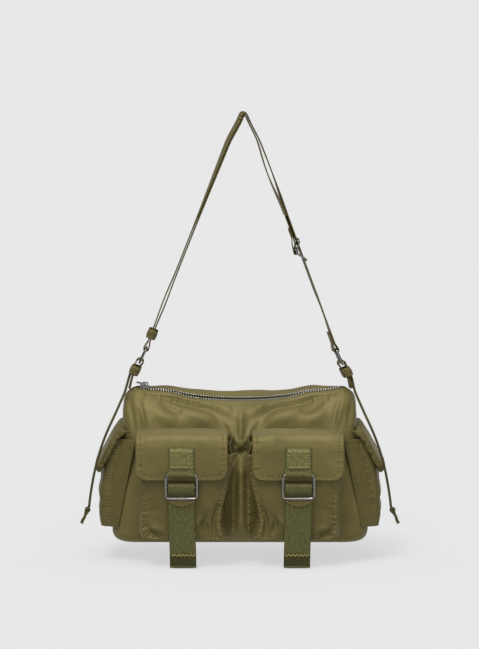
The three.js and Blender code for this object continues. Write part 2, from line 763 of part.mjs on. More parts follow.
function buildCord(bag, { name, side }) {
  const keeperEnd = KEEPER.lower + KEEPER.length / 2;
  const out = (below, offset, y) =>
    strapPoint(RUNS[name], keeperEnd + below, offset)
      .point.sub(bag.position)
      .setY(y);
  const start = side > 0 ? 5.2 : 3.3; // the right anchor is turned, so its cord lies further out
  const route = [
    out(1.2, start, 0),
    out(4, start + 0.3, -1.4),
    ...CORD_ROUTE.map(([x, y, z]) => at(-side * x, y, z)),
  ];
  const curve = new THREE.CatmullRomCurve3(route);
  const section = new THREE.Shape();
  section.absarc(0, 0, CORD_RADIUS, 0, 2 * Math.PI, false);
  const options = { steps: 26, curveSegments: 8, extrudePath: curve, bevelEnabled: false };
  add(bag, `${name}_cord`, new THREE.ExtrudeGeometry(section, options), cordYarn);

  // The knot: a round lump with the cord's short end below it.
  const knot = new THREE.Group();
  knot.position.copy(route[route.length - 1]);
  knot.rotation.y = -side * THREE.MathUtils.degToRad(KNOT.tilt);
  bag.add(knot);
  const lump = arc(90, -60, 7, (c, s) => new THREE.Vector2(KNOT.radius * c, (KNOT.length / 2) * s));
  const top = -GAP - KNOT.length / 2;
  const profile = [
    new THREE.Vector2(0, KNOT.length / 2),
    ...lump.slice(1),
    new THREE.Vector2(CORD_RADIUS, -KNOT.length / 2 - 0.5),
    new THREE.Vector2(CORD_RADIUS + 0.3, -KNOT.length / 2 - KNOT.tail),
    new THREE.Vector2(0, -KNOT.length / 2 - KNOT.tail),
  ].reverse();
  const solid = new THREE.LatheGeometry(profile, 10).rotateX(Math.PI / 2).translate(0, 0, top);
  add(knot, `${name}_cord_knot`, solid, cordYarn);
}

// ---- Assembly ----
const purse = new THREE.Group();
const bag = new THREE.Group();
bag.position.set(BAG_SHIFT, 0, -BAG_DROP);
purse.add(bag);

buildBody(bag);
buildZip(bag);
buildStrap(purse);
buildAdjuster(purse);
for (const place of SIDES) {
  buildPocketShell(bag, place);
  buildFlap(bag, place);
  buildFlapHardware(bag, place);
  buildSidePocket(bag, place);
  buildSideHardware(purse, place);
  buildCord(bag, place);
}

export default purse;
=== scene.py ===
"""Looks for the crossbody purse: cloth, webbing, wire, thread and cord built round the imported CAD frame.

Shapes are worked out in millimetres, most of them in the bag's own frame, whose origin is the middle of the
base's underside, and they become metres in the row frame when a mesh is made.
"""

import json
import math

import bpy
import numpy as np
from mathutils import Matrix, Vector, noise
from mathutils.bvhtree import BVHTree


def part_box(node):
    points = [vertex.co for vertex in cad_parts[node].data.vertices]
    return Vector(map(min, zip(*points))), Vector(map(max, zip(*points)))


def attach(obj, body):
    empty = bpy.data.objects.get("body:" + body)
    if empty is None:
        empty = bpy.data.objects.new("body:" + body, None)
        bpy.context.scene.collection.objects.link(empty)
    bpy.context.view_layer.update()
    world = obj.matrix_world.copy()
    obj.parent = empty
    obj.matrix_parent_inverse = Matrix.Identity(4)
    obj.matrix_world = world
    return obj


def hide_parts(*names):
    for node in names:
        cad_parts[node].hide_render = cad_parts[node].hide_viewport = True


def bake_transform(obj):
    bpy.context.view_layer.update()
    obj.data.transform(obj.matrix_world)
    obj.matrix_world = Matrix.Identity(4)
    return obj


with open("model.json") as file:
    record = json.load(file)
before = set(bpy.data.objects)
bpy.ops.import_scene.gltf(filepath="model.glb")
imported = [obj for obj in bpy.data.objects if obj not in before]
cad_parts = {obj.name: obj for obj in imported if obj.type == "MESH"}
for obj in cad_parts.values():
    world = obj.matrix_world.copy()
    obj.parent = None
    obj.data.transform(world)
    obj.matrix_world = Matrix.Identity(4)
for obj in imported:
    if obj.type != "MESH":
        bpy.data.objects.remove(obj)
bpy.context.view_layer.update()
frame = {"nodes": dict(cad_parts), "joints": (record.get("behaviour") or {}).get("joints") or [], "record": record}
record = frame["record"]
joints = {joint["name"]: joint for joint in frame["joints"]}
MM = 0.001
# The origins of the two frames that shapes are made in: the row's own and the bag's, in millimetres.
ROW = np.zeros(3)
BAG = np.array(next(m["pos_m"] for m in record["mounts"] if m["name"] == "base")) / MM


def bag_box(node):
    """Lowest and highest corner of a CAD node, in millimetres in the bag's frame."""
    low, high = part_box(node)
    return np.array(low) / MM - BAG, np.array(high) / MM - BAG


# ---- Camera: nearly straight on, a little above, through a long lens ----
VIEW_ELEVATION = math.radians(8)
VIEW_DISTANCE = 6.0
VIEW_HEIGHT = 0.649  # what the picture's long side spans, in metres at the bag
VIEW_CENTRE = Vector((-0.0045, 0, -0.2136))

camera = bpy.data.objects.new("camera", bpy.data.cameras.new("camera"))
bpy.context.scene.collection.objects.link(camera)
towards_camera = Vector((0, -math.cos(VIEW_ELEVATION), math.sin(VIEW_ELEVATION)))
camera.location = VIEW_CENTRE + VIEW_DISTANCE * towards_camera
camera.rotation_euler = (math.pi / 2 - VIEW_ELEVATION, 0, 0)
camera.data.lens = camera.data.sensor_width * VIEW_DISTANCE / VIEW_HEIGHT
camera.data.clip_end = 100
bpy.context.scene.camera = camera


# ---- Mesh helpers ----
def unit(vectors):
    """Vectors scaled to length 1."""
    vectors = np.asarray(vectors, float)
    return vectors / np.maximum(np.linalg.norm(vectors, axis=-1, keepdims=True), 1e-9)


def smoothstep(values, low, high):
    """0 below low, 1 above high, and a smooth rise between them."""
    share = np.clip((np.asarray(values, float) - low) / (high - low), 0, 1)
    return share * share * (3 - 2 * share)


def lumps(points, size, seed=0.0):
    """Smooth noise from -1 to 1 at each point, with features about size millimetres across."""
    flat = np.asarray(points, float).reshape(-1, 3) / size + seed
    values = np.array([noise.noise(Vector(p)) for p in flat])
    return values.reshape(np.asarray(points).shape[:-1])


def spline(points, count):
    """A smooth curve through points, as count points evenly spaced along it."""
    points = np.asarray(points, float)
    padded = np.vstack([2 * points[0] - points[1], points, 2 * points[-1] - points[-2]])
    fine = []
    for i in range(len(points) - 1):
        a, b, c, d = padded[i : i + 4]
        for t in np.linspace(0, 1, 24, endpoint=False):
            curve = 2 * b + (c - a) * t + (2 * a - 5 * b + 4 * c - d) * t**2 + (3 * b - a - 3 * c + d) * t**3
            fine.append(0.5 * curve)
    return evenly(np.array([*fine, points[-1]]), count)


def distances(path):
    """How far along a path each of its points is."""
    return np.concatenate([[0], np.cumsum(np.linalg.norm(np.diff(path, axis=0), axis=1))])


def evenly(points, count):
    """The same polyline as count points evenly spaced along it."""
    points = np.asarray(points, float)
    along = distances(points)
    places = np.linspace(0, along[-1], count)
    return np.stack([np.interp(places, along, points[:, k]) for k in range(points.shape[1])], axis=1)


def arc(start, end, count):
    """Cosines and sines of count angles from start to end, in degrees."""
    angles = np.radians(np.linspace(start, end, count))
    return np.stack([np.cos(angles), np.sin(angles)], axis=1)


def grid_normals(grid, wrap=False):
    """Unit normals of a grid of points, from its rows and columns."""
    down = np.gradient(grid, axis=0)
    if wrap:
        across = (np.roll(grid, -1, axis=1) - np.roll(grid, 1, axis=1)) / 2
    else:
        across = np.gradient(grid, axis=1)
    return unit(np.cross(across, down))


def raised(grid, relief, wrap=False):
    """A grid moved outwards along its normals by relief, in millimetres."""
    return grid + grid_normals(grid, wrap) * relief[..., None]


def make(name, points, faces, material, body, slot, origin=BAG, uv=None, replaces=()):
    """A smooth-shaded mesh from points in millimetres, riding on a body."""
    mesh = bpy.data.meshes.new(name)
    world = (np.asarray(points, float) + origin) * MM
    mesh.from_pydata(world.tolist(), [], [list(map(int, face)) for face in faces])
    mesh.validate()
    mesh.polygons.foreach_set("use_smooth", [True] * len(mesh.polygons))
    if uv is not None:
        layer = mesh.uv_layers.new(name="UVMap")
        corners = np.empty(len(mesh.loops), dtype=np.int64)
        mesh.loops.foreach_get("vertex_index", corners)
        layer.data.foreach_set("uv", np.asarray(uv, np.float32)[corners].ravel())
    mesh.materials.append(material)
    mesh.update()
    piece = bpy.data.objects.new(name, mesh)
    bpy.context.scene.collection.objects.link(piece)
    if body:
        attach(piece, body)
    if replaces:
        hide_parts(*replaces)
    return piece


def cloth(name, grid, thickness, material, body, slot, wrap=False, **options):
    """A sheet of cloth or webbing whose outer face is a grid of points, with rounded edges.

    The grid's normals point outwards. Its UVs are millimetres along the rows and the columns."""
    rows, columns = grid.shape[:2]
    inner = grid - thickness * grid_normals(grid, wrap)
    index = np.arange(rows * columns).reshape(rows, columns)
    if wrap:
        right = np.roll(index, -1, axis=1)[:-1].ravel()
        lower_right = np.roll(index, -1, axis=1)[1:].ravel()
        left, lower = index[:-1].ravel(), index[1:].ravel()
        borders = [[(0, j) for j in range(columns)], [(rows - 1, j) for j in range(columns)][::-1]]
    else:
        left, right = index[:-1, :-1].ravel(), index[:-1, 1:].ravel()
        lower, lower_right = index[1:, :-1].ravel(), index[1:, 1:].ravel()
        top = [(0, j) for j in range(columns - 1)]
        side = [(i, columns - 1) for i in range(rows - 1)]
        bottom = [(rows - 1, j) for j in range(columns - 1, 0, -1)]
        back = [(i, 0) for i in range(rows - 1, 0, -1)]
        borders = [top + side + bottom + back]
    count = rows * columns
    outer_faces = np.stack([left, right, lower_right, lower], axis=1)
    inner_faces = outer_faces[:, ::-1] + count
    faces = [*outer_faces.tolist(), *inner_faces.tolist()]
    points = [grid.reshape(-1, 3), inner.reshape(-1, 3)]
    lengths = [np.linalg.norm(np.diff(grid, axis=k), axis=2).mean() for k in (0, 1)]
    across, down = np.meshgrid(np.arange(columns) * lengths[1], np.arange(rows) * lengths[0])
    uv = np.stack([across, down], axis=2).reshape(-1, 2)
    uvs = [uv, uv]
    start = 2 * count
    for border in borders:
        row, column = np.array(border).T
        near = row.clip(1, rows - 2), column if wrap else column.clip(1, columns - 2)
        edge = grid[row, column]
        middle = (edge + inner[row, column]) / 2
        points.append(middle + unit(edge - grid[near]) * thickness / 2)
        flat = index[row, column]
        uvs.append(uv[flat])
        for k in range(len(border)):
            after = (k + 1) % len(border)
            faces.append([flat[after], flat[k], start + k, start + after])
            faces.append([start + after, start + k, flat[k] + count, flat[after] + count])
        start += len(border)
    return make(name, np.vstack(points), faces, material, body, slot, uv=np.vstack(uvs), **options)


def web(name, path, width, thickness, material, body, slot, across=(1, 0, 0), columns=9, **options):
    """A flat web along a path of its middle line, with its width along across."""
    path = np.asarray(path, float)
    wide = np.broadcast_to(unit(across), path.shape)
    steps = np.linspace(-width / 2, width / 2, columns)
    grid = path[:, None, :] + wide[:, None, :] * steps[None, :, None]
    grid = grid + grid_normals(grid) * thickness / 2
    return cloth(name, grid, thickness, material, body, slot, **options)


def path_frames(path, closed=False):
    """For each point of a path, two unit vectors square to it that turn as little as they can."""
    if closed:
        tangents = unit(np.roll(path, -1, axis=0) - np.roll(path, 1, axis=0))
    else:
        tangents = unit(np.gradient(path, axis=0))
    start = np.cross(tangents[0], (0, 0, 1) if abs(tangents[0][2]) < 0.9 else (0, 1, 0))
    sides = [unit(start)]
    for tangent in tangents[1:]:
        side = sides[-1] - tangent * np.dot(sides[-1], tangent)
        sides.append(unit(side))
    sides = np.array(sides)
    return sides, np.cross(tangents, sides)


def tube_mesh(path, radius, sides=10, closed=False):
    """Points, faces and UVs of a round tube; radius is one number or one for each point."""
    path = np.asarray(path, float)
    one, two = path_frames(path, closed)
    radii = np.broadcast_to(radius, len(path))
    ring = arc(0, 360 * (1 - 1 / sides), sides)
    offsets = ring[None, :, :1] * one[:, None, :] + ring[None, :, 1:] * two[:, None, :]
    points = (path[:, None, :] + radii[:, None, None] * offsets).reshape(-1, 3)
    faces = []
    last = len(path) if closed else len(path) - 1
    for i in range(last):
        for j in range(sides):
            a, b = i * sides + j, i * sides + (j + 1) % sides
            c, d = ((i + 1) % len(path)) * sides + (j + 1) % sides, ((i + 1) % len(path)) * sides + j
            faces.append([a, b, c, d])
    if not closed:
        faces.append(list(range(sides))[::-1])
        faces.append([(len(path) - 1) * sides + j for j in range(sides)])
    along = distances(path)
    turn = np.arange(sides) * 2 * math.pi / sides * np.mean(radii)
    uv = np.stack(np.meshgrid(turn, along), axis=2).reshape(-1, 2)
    return points, faces, uv


def tube(name, path, radius, material, body, slot, sides=10, closed=False, **options):
    """A round tube as a piece of its own."""
    points, faces, uv = tube_mesh(path, radius, sides, closed)
    return make(name, points, faces, material, body, slot, uv=uv, **options)


def joined(name, parts, material, body, slot, **options):
    """One piece from several (points, faces, uv)."""
    points, faces, uvs, start = [], [], [], 0
    for part_points, part_faces, part_uv in parts:
        points.append(part_points)
        uvs.append(part_uv)
        faces.extend([[k + start for k in face] for face in part_faces])
        start += len(part_points)
    return make(name, np.vstack(points), faces, material, body, slot, uv=np.vstack(uvs), **options)


def rounded_loop(width, height, radius, steps=6):
    """A closed rounded rectangle about the origin, as rows of two numbers."""
    turns = []
    for k, (sx, sy) in enumerate([(1, 1), (-1, 1), (-1, -1), (1, -1)]):
        centre = np.array([sx * (width / 2 - radius), sy * (height / 2 - radius)])
        turns.append(centre + radius * arc(90 * k, 90 * k + 90, steps))
    return np.vstack(turns)


def surface_of(piece, origin=BAG):
    """A search tree of a piece's surface, in millimetres in the given frame."""
    points = [Vector(np.array(v.co) / MM - origin) for v in piece.data.vertices]
    return BVHTree.FromPolygons(points, [tuple(p.vertices) for p in piece.data.polygons])


# ---- Creases, puckers and stitches ----
def nearest_on_line(u, v, line):
    """Distance from each (u, v) to a polyline, and how far along it, in millimetres."""
    line = np.asarray(line, float)
    best = np.full(u.shape, 1e9)
    along = np.zeros(u.shape)
    start = 0.0
    for a, b in zip(line[:-1], line[1:]):
        step = b - a
        length = np.hypot(*step)
        share = np.clip(((u - a[0]) * step[0] + (v - a[1]) * step[1]) / length**2, 0, 1)
        distance = np.hypot(u - a[0] - share * step[0], v - a[1] - share * step[1])
        closer = distance < best
        best = np.where(closer, distance, best)
        along = np.where(closer, start + share * length, along)
        start += length
    return best, along, start


def crease(u, v, line, width, height):
    """A soft fold along a line, height at its middle, tapering towards its ends."""
    distance, along, length = nearest_on_line(u, v, line)
    taper = np.sin(math.pi * np.clip(along / length, 0.02, 0.98)) ** 0.6
    return height * taper * np.exp(-((distance / width) ** 2))


GATHERS = ((0.85, 1.0, 1), (1.37, 0.8, 2), (2.3, 0.6, 1))  # each wave's length, size and share of the seed


def pucker(u, v, line, height=0.3, reach=4.5, seed=0.0):
    """A sewn line: a narrow groove with small gathers across it that fade out over reach."""
    distance, along, _ = nearest_on_line(u, v, line)
    gathers = sum(size * np.sin(along / length + times * seed) for length, size, times in GATHERS)
    fade = np.exp(-((distance / reach) ** 2))
    return height * gathers * 0.5 * fade - 0.45 * np.exp(-((distance / 0.9) ** 2))


STITCH = {"length": 1.6, "radius": 0.42, "hole": 0.46}


def stitch_mesh(centre, along, out, length=STITCH["length"], radius=STITCH["radius"]):
    """One stitch: a small spindle of thread that dips into the cloth at both ends."""
    shares = np.array([-1, -0.55, 0, 0.55, 1])
    path = centre + shares[:, None] * along * length / 2 + (0.16 - 0.35 * shares[:, None] ** 2) * out
    return tube_mesh(path, radius * np.sqrt(1.05 - shares**2 * 0.85), sides=6)


def stitches(name, lines, surface, body, slot="nylon", origin=BAG, pitch=3.1, length=STITCH["length"]):
    """Rows of stitches laid on the nearest spots of a surface, with a near-black spot between each two: painted
    shade in the needle hole.
    """
    threads, holes = [], []
    for line in lines:
        line = np.asarray(line, float)
        spots = evenly(line, 2 * max(2, int(distances(line)[-1] / pitch)) + 1)
        for index, (spot, tangent) in enumerate(zip(spots, unit(np.gradient(spots, axis=0)))):
            place, out = (np.array(found) for found in surface.find_nearest(Vector(spot))[:2])
            if np.dot(out, spot - place) < -0.05:
                out = -out
            along = unit(tangent - out * np.dot(tangent, out))
            if index % 2:
                holes.append(stitch_mesh(place - 0.02 * out, along, out, 0.34 * length, STITCH["hole"]))
            else:
                threads.append(stitch_mesh(place + 0.1 * out, along, out, length))
    joined(f"{name}_holes", holes, hole_shade_cloth, body, slot, origin=origin)
    joined(name, threads, thread, body, slot, origin=origin)


# ---- Materials ----
class Nodes:
    """A material's node tree, with short calls for the nodes used here."""

    def __init__(self, name, roughness, metallic=0.0, specular=0.5, **sockets):
        self.material = bpy.data.materials.new(name)
        self.material.use_nodes = True
        self.tree = self.material.node_tree
        self.shader = self.tree.nodes["Principled BSDF"]
        self.shader.inputs["Roughness"].default_value = roughness
        self.shader.inputs["Metallic"].default_value = metallic
        self.shader.inputs["Specular IOR Level"].default_value = specular
        for socket, value in sockets.items():
            self.shader.inputs[socket.replace("_", " ").title()].default_value = value
        self.bump_chain = None

    def node(self, kind, **inputs):
        made = self.tree.nodes.new(kind)
        for key, value in inputs.items():
            made.inputs[key.replace("_", " ")].default_value = value
        return made

    def link(self, output, target):
        self.tree.links.new(output, target)

    def coordinates(self, uv=False):
        source = self.node("ShaderNodeTexCoord")
        return source.outputs["UV" if uv else "Object"]

    def stretched(self, scale, uv=False, turn=0.0):
        """Coordinates with one cycle for each unit of scale."""
        mapping = self.node("ShaderNodeMapping")
        mapping.inputs["Scale"].default_value = scale
        mapping.inputs["Rotation"].default_value = (0, 0, turn)
        self.link(self.coordinates(uv), mapping.inputs["Vector"])
        return mapping.outputs["Vector"]

    def noise(self, vector, scale, detail=3.0):
        made = self.node("ShaderNodeTexNoise", Scale=scale, Detail=detail)
        self.link(vector, made.inputs["Vector"])
        return made.outputs["Fac"]

    def wave(self, vector, scale, direction="X", distortion=0.0):
        made = self.node("ShaderNodeTexWave", Scale=scale, Distortion=distortion)
        made.bands_direction = direction
        self.link(vector, made.inputs["Vector"])
        return made.outputs["Fac"]

    def math(self, operation, first, second):
        made = self.tree.nodes.new("ShaderNodeMath")
        made.operation = operation
        for socket, value in zip(made.inputs, (first, second)):
            if isinstance(value, (int, float)):
                socket.default_value = value
            else:
                self.link(value, socket)
        return made.outputs["Value"]

    def ramp(self, factor, stops):
        made = self.tree.nodes.new("ShaderNodeValToRGB")
        elements = made.color_ramp.elements
        while len(elements) < len(stops):
            elements.new(0.5)
        for element, (place, colour) in zip(elements, stops):
            element.position = place
            element.color = (*colour, 1)
        self.link(factor, made.inputs["Fac"])
        return made.outputs["Color"]

    def colour(self, factor, stops):
        self.link(self.ramp(factor, stops), self.shader.inputs["Base Color"])

    def roughness(self, factor, low, high):
        spread = self.node("ShaderNodeMapRange")
        spread.inputs["To Min"].default_value = low
        spread.inputs["To Max"].default_value = high
        self.link(factor, spread.inputs["Value"])
        self.link(spread.outputs["Result"], self.shader.inputs["Roughness"])

    def bump(self, height, distance, strength=1.0):
        """Adds a height in metres on top of the bumps already there."""
        made = self.node("ShaderNodeBump", Strength=strength, Distance=distance)
        self.link(height, made.inputs["Height"])
        if self.bump_chain:
            self.link(self.bump_chain, made.inputs["Normal"])
        self.bump_chain = made.outputs["Normal"]
        if self.shader.inputs["Normal"].links:
            self.tree.links.remove(self.shader.inputs["Normal"].links[0])
        self.link(self.bump_chain, self.shader.inputs["Normal"])


def tone(colour, factor):
    """A lighter or darker version of a colour."""
    return tuple(min(1.0, channel * factor) for channel in colour)


SATIN = (0.9, 0.8, 0.42, 1)  # what the satin threads reflect
OLIVE = (0.102, 0.085, 0.0285)
WEBBING_GREEN = (0.06, 0.06, 0.022)


def nylon_material(name, colour, roughness=0.47):
    """Smooth satin nylon: fine plain weave, slight slubs and soft crumples."""
    sheen = {"sheen_weight": 0.1, "sheen_roughness": 0.3, "sheen_tint": SATIN}
    nodes = Nodes(name, roughness, specular=0.4, specular_tint=SATIN, **sheen)
    place = nodes.coordinates()
    broad = nodes.noise(place, 28, 2)
    fine = nodes.noise(nodes.stretched((1, 1, 0.35)), 900, 2)
    mixed = nodes.math("ADD", nodes.math("MULTIPLY", broad, 0.75), nodes.math("MULTIPLY", fine, 0.25))
    nodes.colour(mixed, [(0.3, tone(colour, 0.82)), (0.5, colour), (0.7, tone(colour, 1.16))])
    nodes.roughness(broad, roughness - 0.05, roughness + 0.09)
    nodes.bump(nodes.noise(place, 130, 3), 0.0009, 0.5)
    threads = nodes.math("MULTIPLY", nodes.wave(place, 320, "X"), nodes.wave(place, 320, "Z"))
    nodes.bump(threads, 0.00012, 0.3)
    return nodes.material


def webbing_material(name, colour, twill=True):
    """Woven tape: ribs across it, a twill that runs at a slant, darker edges between the yarns, and bright flecks
    of painted sheen.
    """
    sheen = {"sheen_weight": 0.08, "sheen_roughness": 0.4, "sheen_tint": SATIN}
    nodes = Nodes(name, 0.5, specular=0.3, specular_tint=SATIN, **sheen)
    slant = nodes.stretched((1, 1, 1), uv=True, turn=math.radians(38 if twill else 0))
    ribs = nodes.wave(slant, 0.2 if twill else 0.3, "X" if twill else "Y", 2.5)
    yarn = nodes.wave(nodes.coordinates(uv=True), 0.3, "X", 0.8)
    sheen_speckle = nodes.noise(nodes.stretched((1, 0.6, 1), uv=True), 0.42, 4)
    mixed = nodes.math("ADD", nodes.math("MULTIPLY", ribs, 0.45), nodes.math("MULTIPLY", sheen_speckle, 0.55))
    # The speckle's darker spots are the yarns' own tone; its bright flecks, up to 2.4 times the colour, are
    # painted sheen.
    nodes.colour(mixed, [(0.36, tone(colour, 0.35)), (0.5, tone(colour, 0.95)), (0.64, tone(colour, 2.4))])
    nodes.roughness(sheen_speckle, 0.36, 0.62)
    nodes.bump(ribs, 0.0006, 0.7)
    nodes.bump(yarn, 0.0003, 0.5)
    return nodes.material


def plain_cloth_material(name, colour, pitch):
    """Matt plain-woven cloth, with pitch giving how fine its weave is."""
    nodes = Nodes(name, 0.75, sheen_weight=0.05, specular_tint=SATIN)
    place = nodes.coordinates()
    weave = nodes.math("MULTIPLY", nodes.wave(place, pitch, "X"), nodes.wave(place, pitch, "Z"))
    nodes.colour(nodes.noise(place, 120, 3), [(0.3, tone(colour, 0.75)), (0.7, tone(colour, 1.2))])
    nodes.roughness(weave, 0.68, 0.82)
    nodes.bump(weave, 0.0002, 0.5)
    return nodes.material


def cord_material(name, colour):
    """Braided cord: two sets of yarns crossing at a slant round it."""
    nodes = Nodes(name, 0.62, specular=0.25, sheen_weight=0.05, specular_tint=SATIN)
    one = nodes.wave(nodes.stretched((1, 1, 1), uv=True, turn=math.radians(45)), 0.5)
    two = nodes.wave(nodes.stretched((1, 1, 1), uv=True, turn=math.radians(-45)), 0.5)
    braid = nodes.math("MAXIMUM", one, two)
    nodes.colour(braid, [(0.35, tone(colour, 0.45)), (0.8, tone(colour, 1.3))])
    nodes.roughness(braid, 0.7, 0.52)
    nodes.bump(braid, 0.0005, 0.8)
    return nodes.material


def thread_material(name, colour):
    """Sewing thread: a twist that runs round it at a slant."""
    nodes = Nodes(name, 0.5, specular=0.25, sheen_weight=0.1, specular_tint=SATIN)
    twist = nodes.wave(nodes.stretched((1, 1, 1), uv=True, turn=math.radians(35)), 1.1)
    nodes.colour(twist, [(0.2, tone(colour, 0.7)), (0.8, tone(colour, 1.15))])
    nodes.roughness(twist, 0.42, 0.6)
    nodes.bump(twist, 0.0002, 0.6)
    return nodes.material


def metal_material(name, colour, roughness):
    """Plated wire with faint wear: duller patches and hairline scratches."""
    nodes = Nodes(name, roughness, metallic=1.0)
    place = nodes.coordinates()
    wear = nodes.noise(place, 210, 4)
    nodes.colour(wear, [(0.35, tone(colour, 0.82)), (0.7, tone(colour, 1.1))])
    nodes.roughness(wear, roughness - 0.06, roughness + 0.14)
    nodes.bump(nodes.noise(nodes.stretched((1, 1, 0.08)), 2600, 2), 0.00004, 0.5)
    return nodes.material


nylon = nylon_material("nylon", OLIVE)
# A darker copy of the same nylon: painted shade on the pocket faces and gussets, the side pockets and their flaps,
# the base, the tabs and the keepers.
nylon_shaded = nylon_material("nylon_shaded", tone(OLIVE, 0.72), 0.5)
lining_cloth = plain_cloth_material("lining", tone(OLIVE, 0.2), 260)
tape_cloth = plain_cloth_material("zip_tape", tone(OLIVE, 0.42), 420)
webbing = webbing_material("webbing", WEBBING_GREEN)
# A lighter copy of the same webbing: painted light, a painted highlight on the raised pads and a painted highlight
# line along the tails' hem edges.
lit_webbing = webbing_material("lit_webbing", tone(WEBBING_GREEN, 1.75))
# A darker copy of the same webbing for the folded hems: painted shade.
shaded_webbing = webbing_material("webbing_hem_painted_shade", tone(WEBBING_GREEN, 0.4))
strap_webbing = webbing_material("strap_webbing", tone(OLIVE, 0.66), twill=False)
cord_yarn = cord_material("cord", tone(OLIVE, 0.55))
thread = thread_material("thread", (0.31, 0.235, 0.095))
gold_thread = thread_material("gold_thread", (0.4, 0.33, 0.12))
nickel = metal_material("nickel", (0.23, 0.223, 0.212), 0.1)
teeth_metal = metal_material("zip_teeth", (0.8, 0.79, 0.76), 0.26)
# A near-black copy of the nylon: painted shade in the needle holes between stitches.
hole_shade_cloth = plain_cloth_material("needle_hole_shade", tone(OLIVE, 0.14), 400)

# ---- Driving sizes, in millimetres, from the frame where it has them ----
_, end_high = bag_box("right_end_panel")
_, back_high = bag_box("back_panel")
teeth_low, _ = bag_box("zip_teeth_front")
flap_low, flap_high = bag_box("right_front_flap")
face_low, face_high = bag_box("right_pocket_face")
buckle_low, buckle_high = bag_box("right_buckle")
tail_low, tail_high = bag_box("right_webbing_tail")
web_low, web_high = bag_box("right_flap_webbing")

HALF_WIDTH = end_high[0] + 0.8
HALF_DEPTH = back_high[1]
RIM_HALF_GAP = 7.9
NOMINAL_HEIGHT = 145
BASE_RADIUS = 11.5
CORNER_RADIUS = 17
LINING_GAP = 3.1
CLOTH = 1.5  # thickness of the bag's nylon

ZIP_LOW = teeth_low[2] + 2.7
ZIP_RADIUS = joints["zip_slide"]["pos_m"][2] / MM - BAG[2] - ZIP_LOW
ZIP_HALF_LENGTH = 102

WEB = web_high[0] - web_low[0]  # width of the webbing on the pockets
WEB_THICKNESS = 1.3
POCKET_X = (web_low[0] + web_high[0]) / 2

FOLD_CENTRE = np.array([0, 0, -3.5])  # the strap's turn at the top, in the row frame
RUN_OFFSET = 5.2
LAYER = 0.9  # how far each layer of the doubled strap lies from their middle
STRAP = 15  # width of the strap

SIDES = {"left": -1, "right": 1}


def sided(grid, side):
    """A grid made for the right side, or its mirror image for the left, with its normals still outwards."""
    return grid if side > 0 else grid[:, ::-1] * np.array([-1, 1, 1])


def sided_line(line, side):
    """A line made for the right side, or its mirror image for the left."""
    return np.asarray(line, float) * np.array([side, 1, 1])


# ---- Body: one lofted shell of nylon that sags between the anchors ----
def zip_height(x):
    """How high the zip runs at x: an arc that sags between the anchors."""
    inside = np.minimum(np.abs(x), ZIP_HALF_LENGTH)
    swell = 2.6 * np.exp(-(((inside - 70) / 15) ** 2))
    return ZIP_LOW + ZIP_RADIUS - np.sqrt(ZIP_RADIUS**2 - inside**2) + swell


def body_ring(t, grow=0.0):
    """The body's outline at height t, from 0 at the base to 1 at the rim, going round from the front left."""
    z = t * NOMINAL_HEIGHT
    inset = BASE_RADIUS - math.sqrt(BASE_RADIUS**2 - (BASE_RADIUS - z) ** 2) if z < BASE_RADIUS else 0
    swell = HALF_DEPTH - RIM_HALF_GAP
    # The sides lean in as they rise and turn in at the rim. The front leans in further than the back.
    width = HALF_WIDTH + 1.2 - 10.6 * float(smoothstep(t, 0.1, 0.78)) - 10 * t**26 - inset + grow
    front = RIM_HALF_GAP + swell * (1 - t**3.2) ** 0.75 - inset + grow
    back = RIM_HALF_GAP + swell * (1 - t**8) ** 0.6 - inset + grow
    front_radius = min(CORNER_RADIUS, 0.9 * front)
    back_radius = min(CORNER_RADIUS, 0.9 * back)

    def straight(start, end, count):
        return np.linspace(start, end, count, endpoint=False)

    def corner(x, y, radius, start):
        return np.array([x, y]) + radius * arc(start, start + 90, 15)[:-1]

    ring = np.vstack(
        [
            straight((-width + front_radius, -front), (width - front_radius, -front), 150),
            corner(width - front_radius, -front + front_radius, front_radius, -90),
            straight((width, -front + front_radius), (width, back - back_radius), 22),
            corner(width - back_radius, back - back_radius, back_radius, 0),
            straight((width - back_radius, back), (-width + back_radius, back), 120),
            corner(-width + back_radius, back - back_radius, back_radius, 90),
            straight((-width, back - back_radius), (-width, -front + front_radius), 22),
            corner(-width + front_radius, -front + front_radius, front_radius, 180),
        ]
    )
    x, y = ring.T
    behind = smoothstep(y, RIM_HALF_GAP, 0.7 * HALF_DEPTH)
    lift = 17 * behind * t**4 * np.maximum(0, 1 - (x / HALF_WIDTH) ** 2)
    sink = 2.6 * (1 - smoothstep(z, 0, 30))
    return np.stack([x, y, t * (zip_height(x) - 2.2) + lift - sink], axis=1)


MIDDLE = 1  # the x that the front's folds mirror about
GATHER = (MIDDLE, 90)  # where the front is gathered in between the pockets
CENTRE_SEAMS = (-10, 11)  # where the two sewn lines run up between the pockets
BULGES = ((-36, 121), (50, 122))  # where the front swells above the pockets, as (x, z)
FOLD_STRENGTH = 1.95
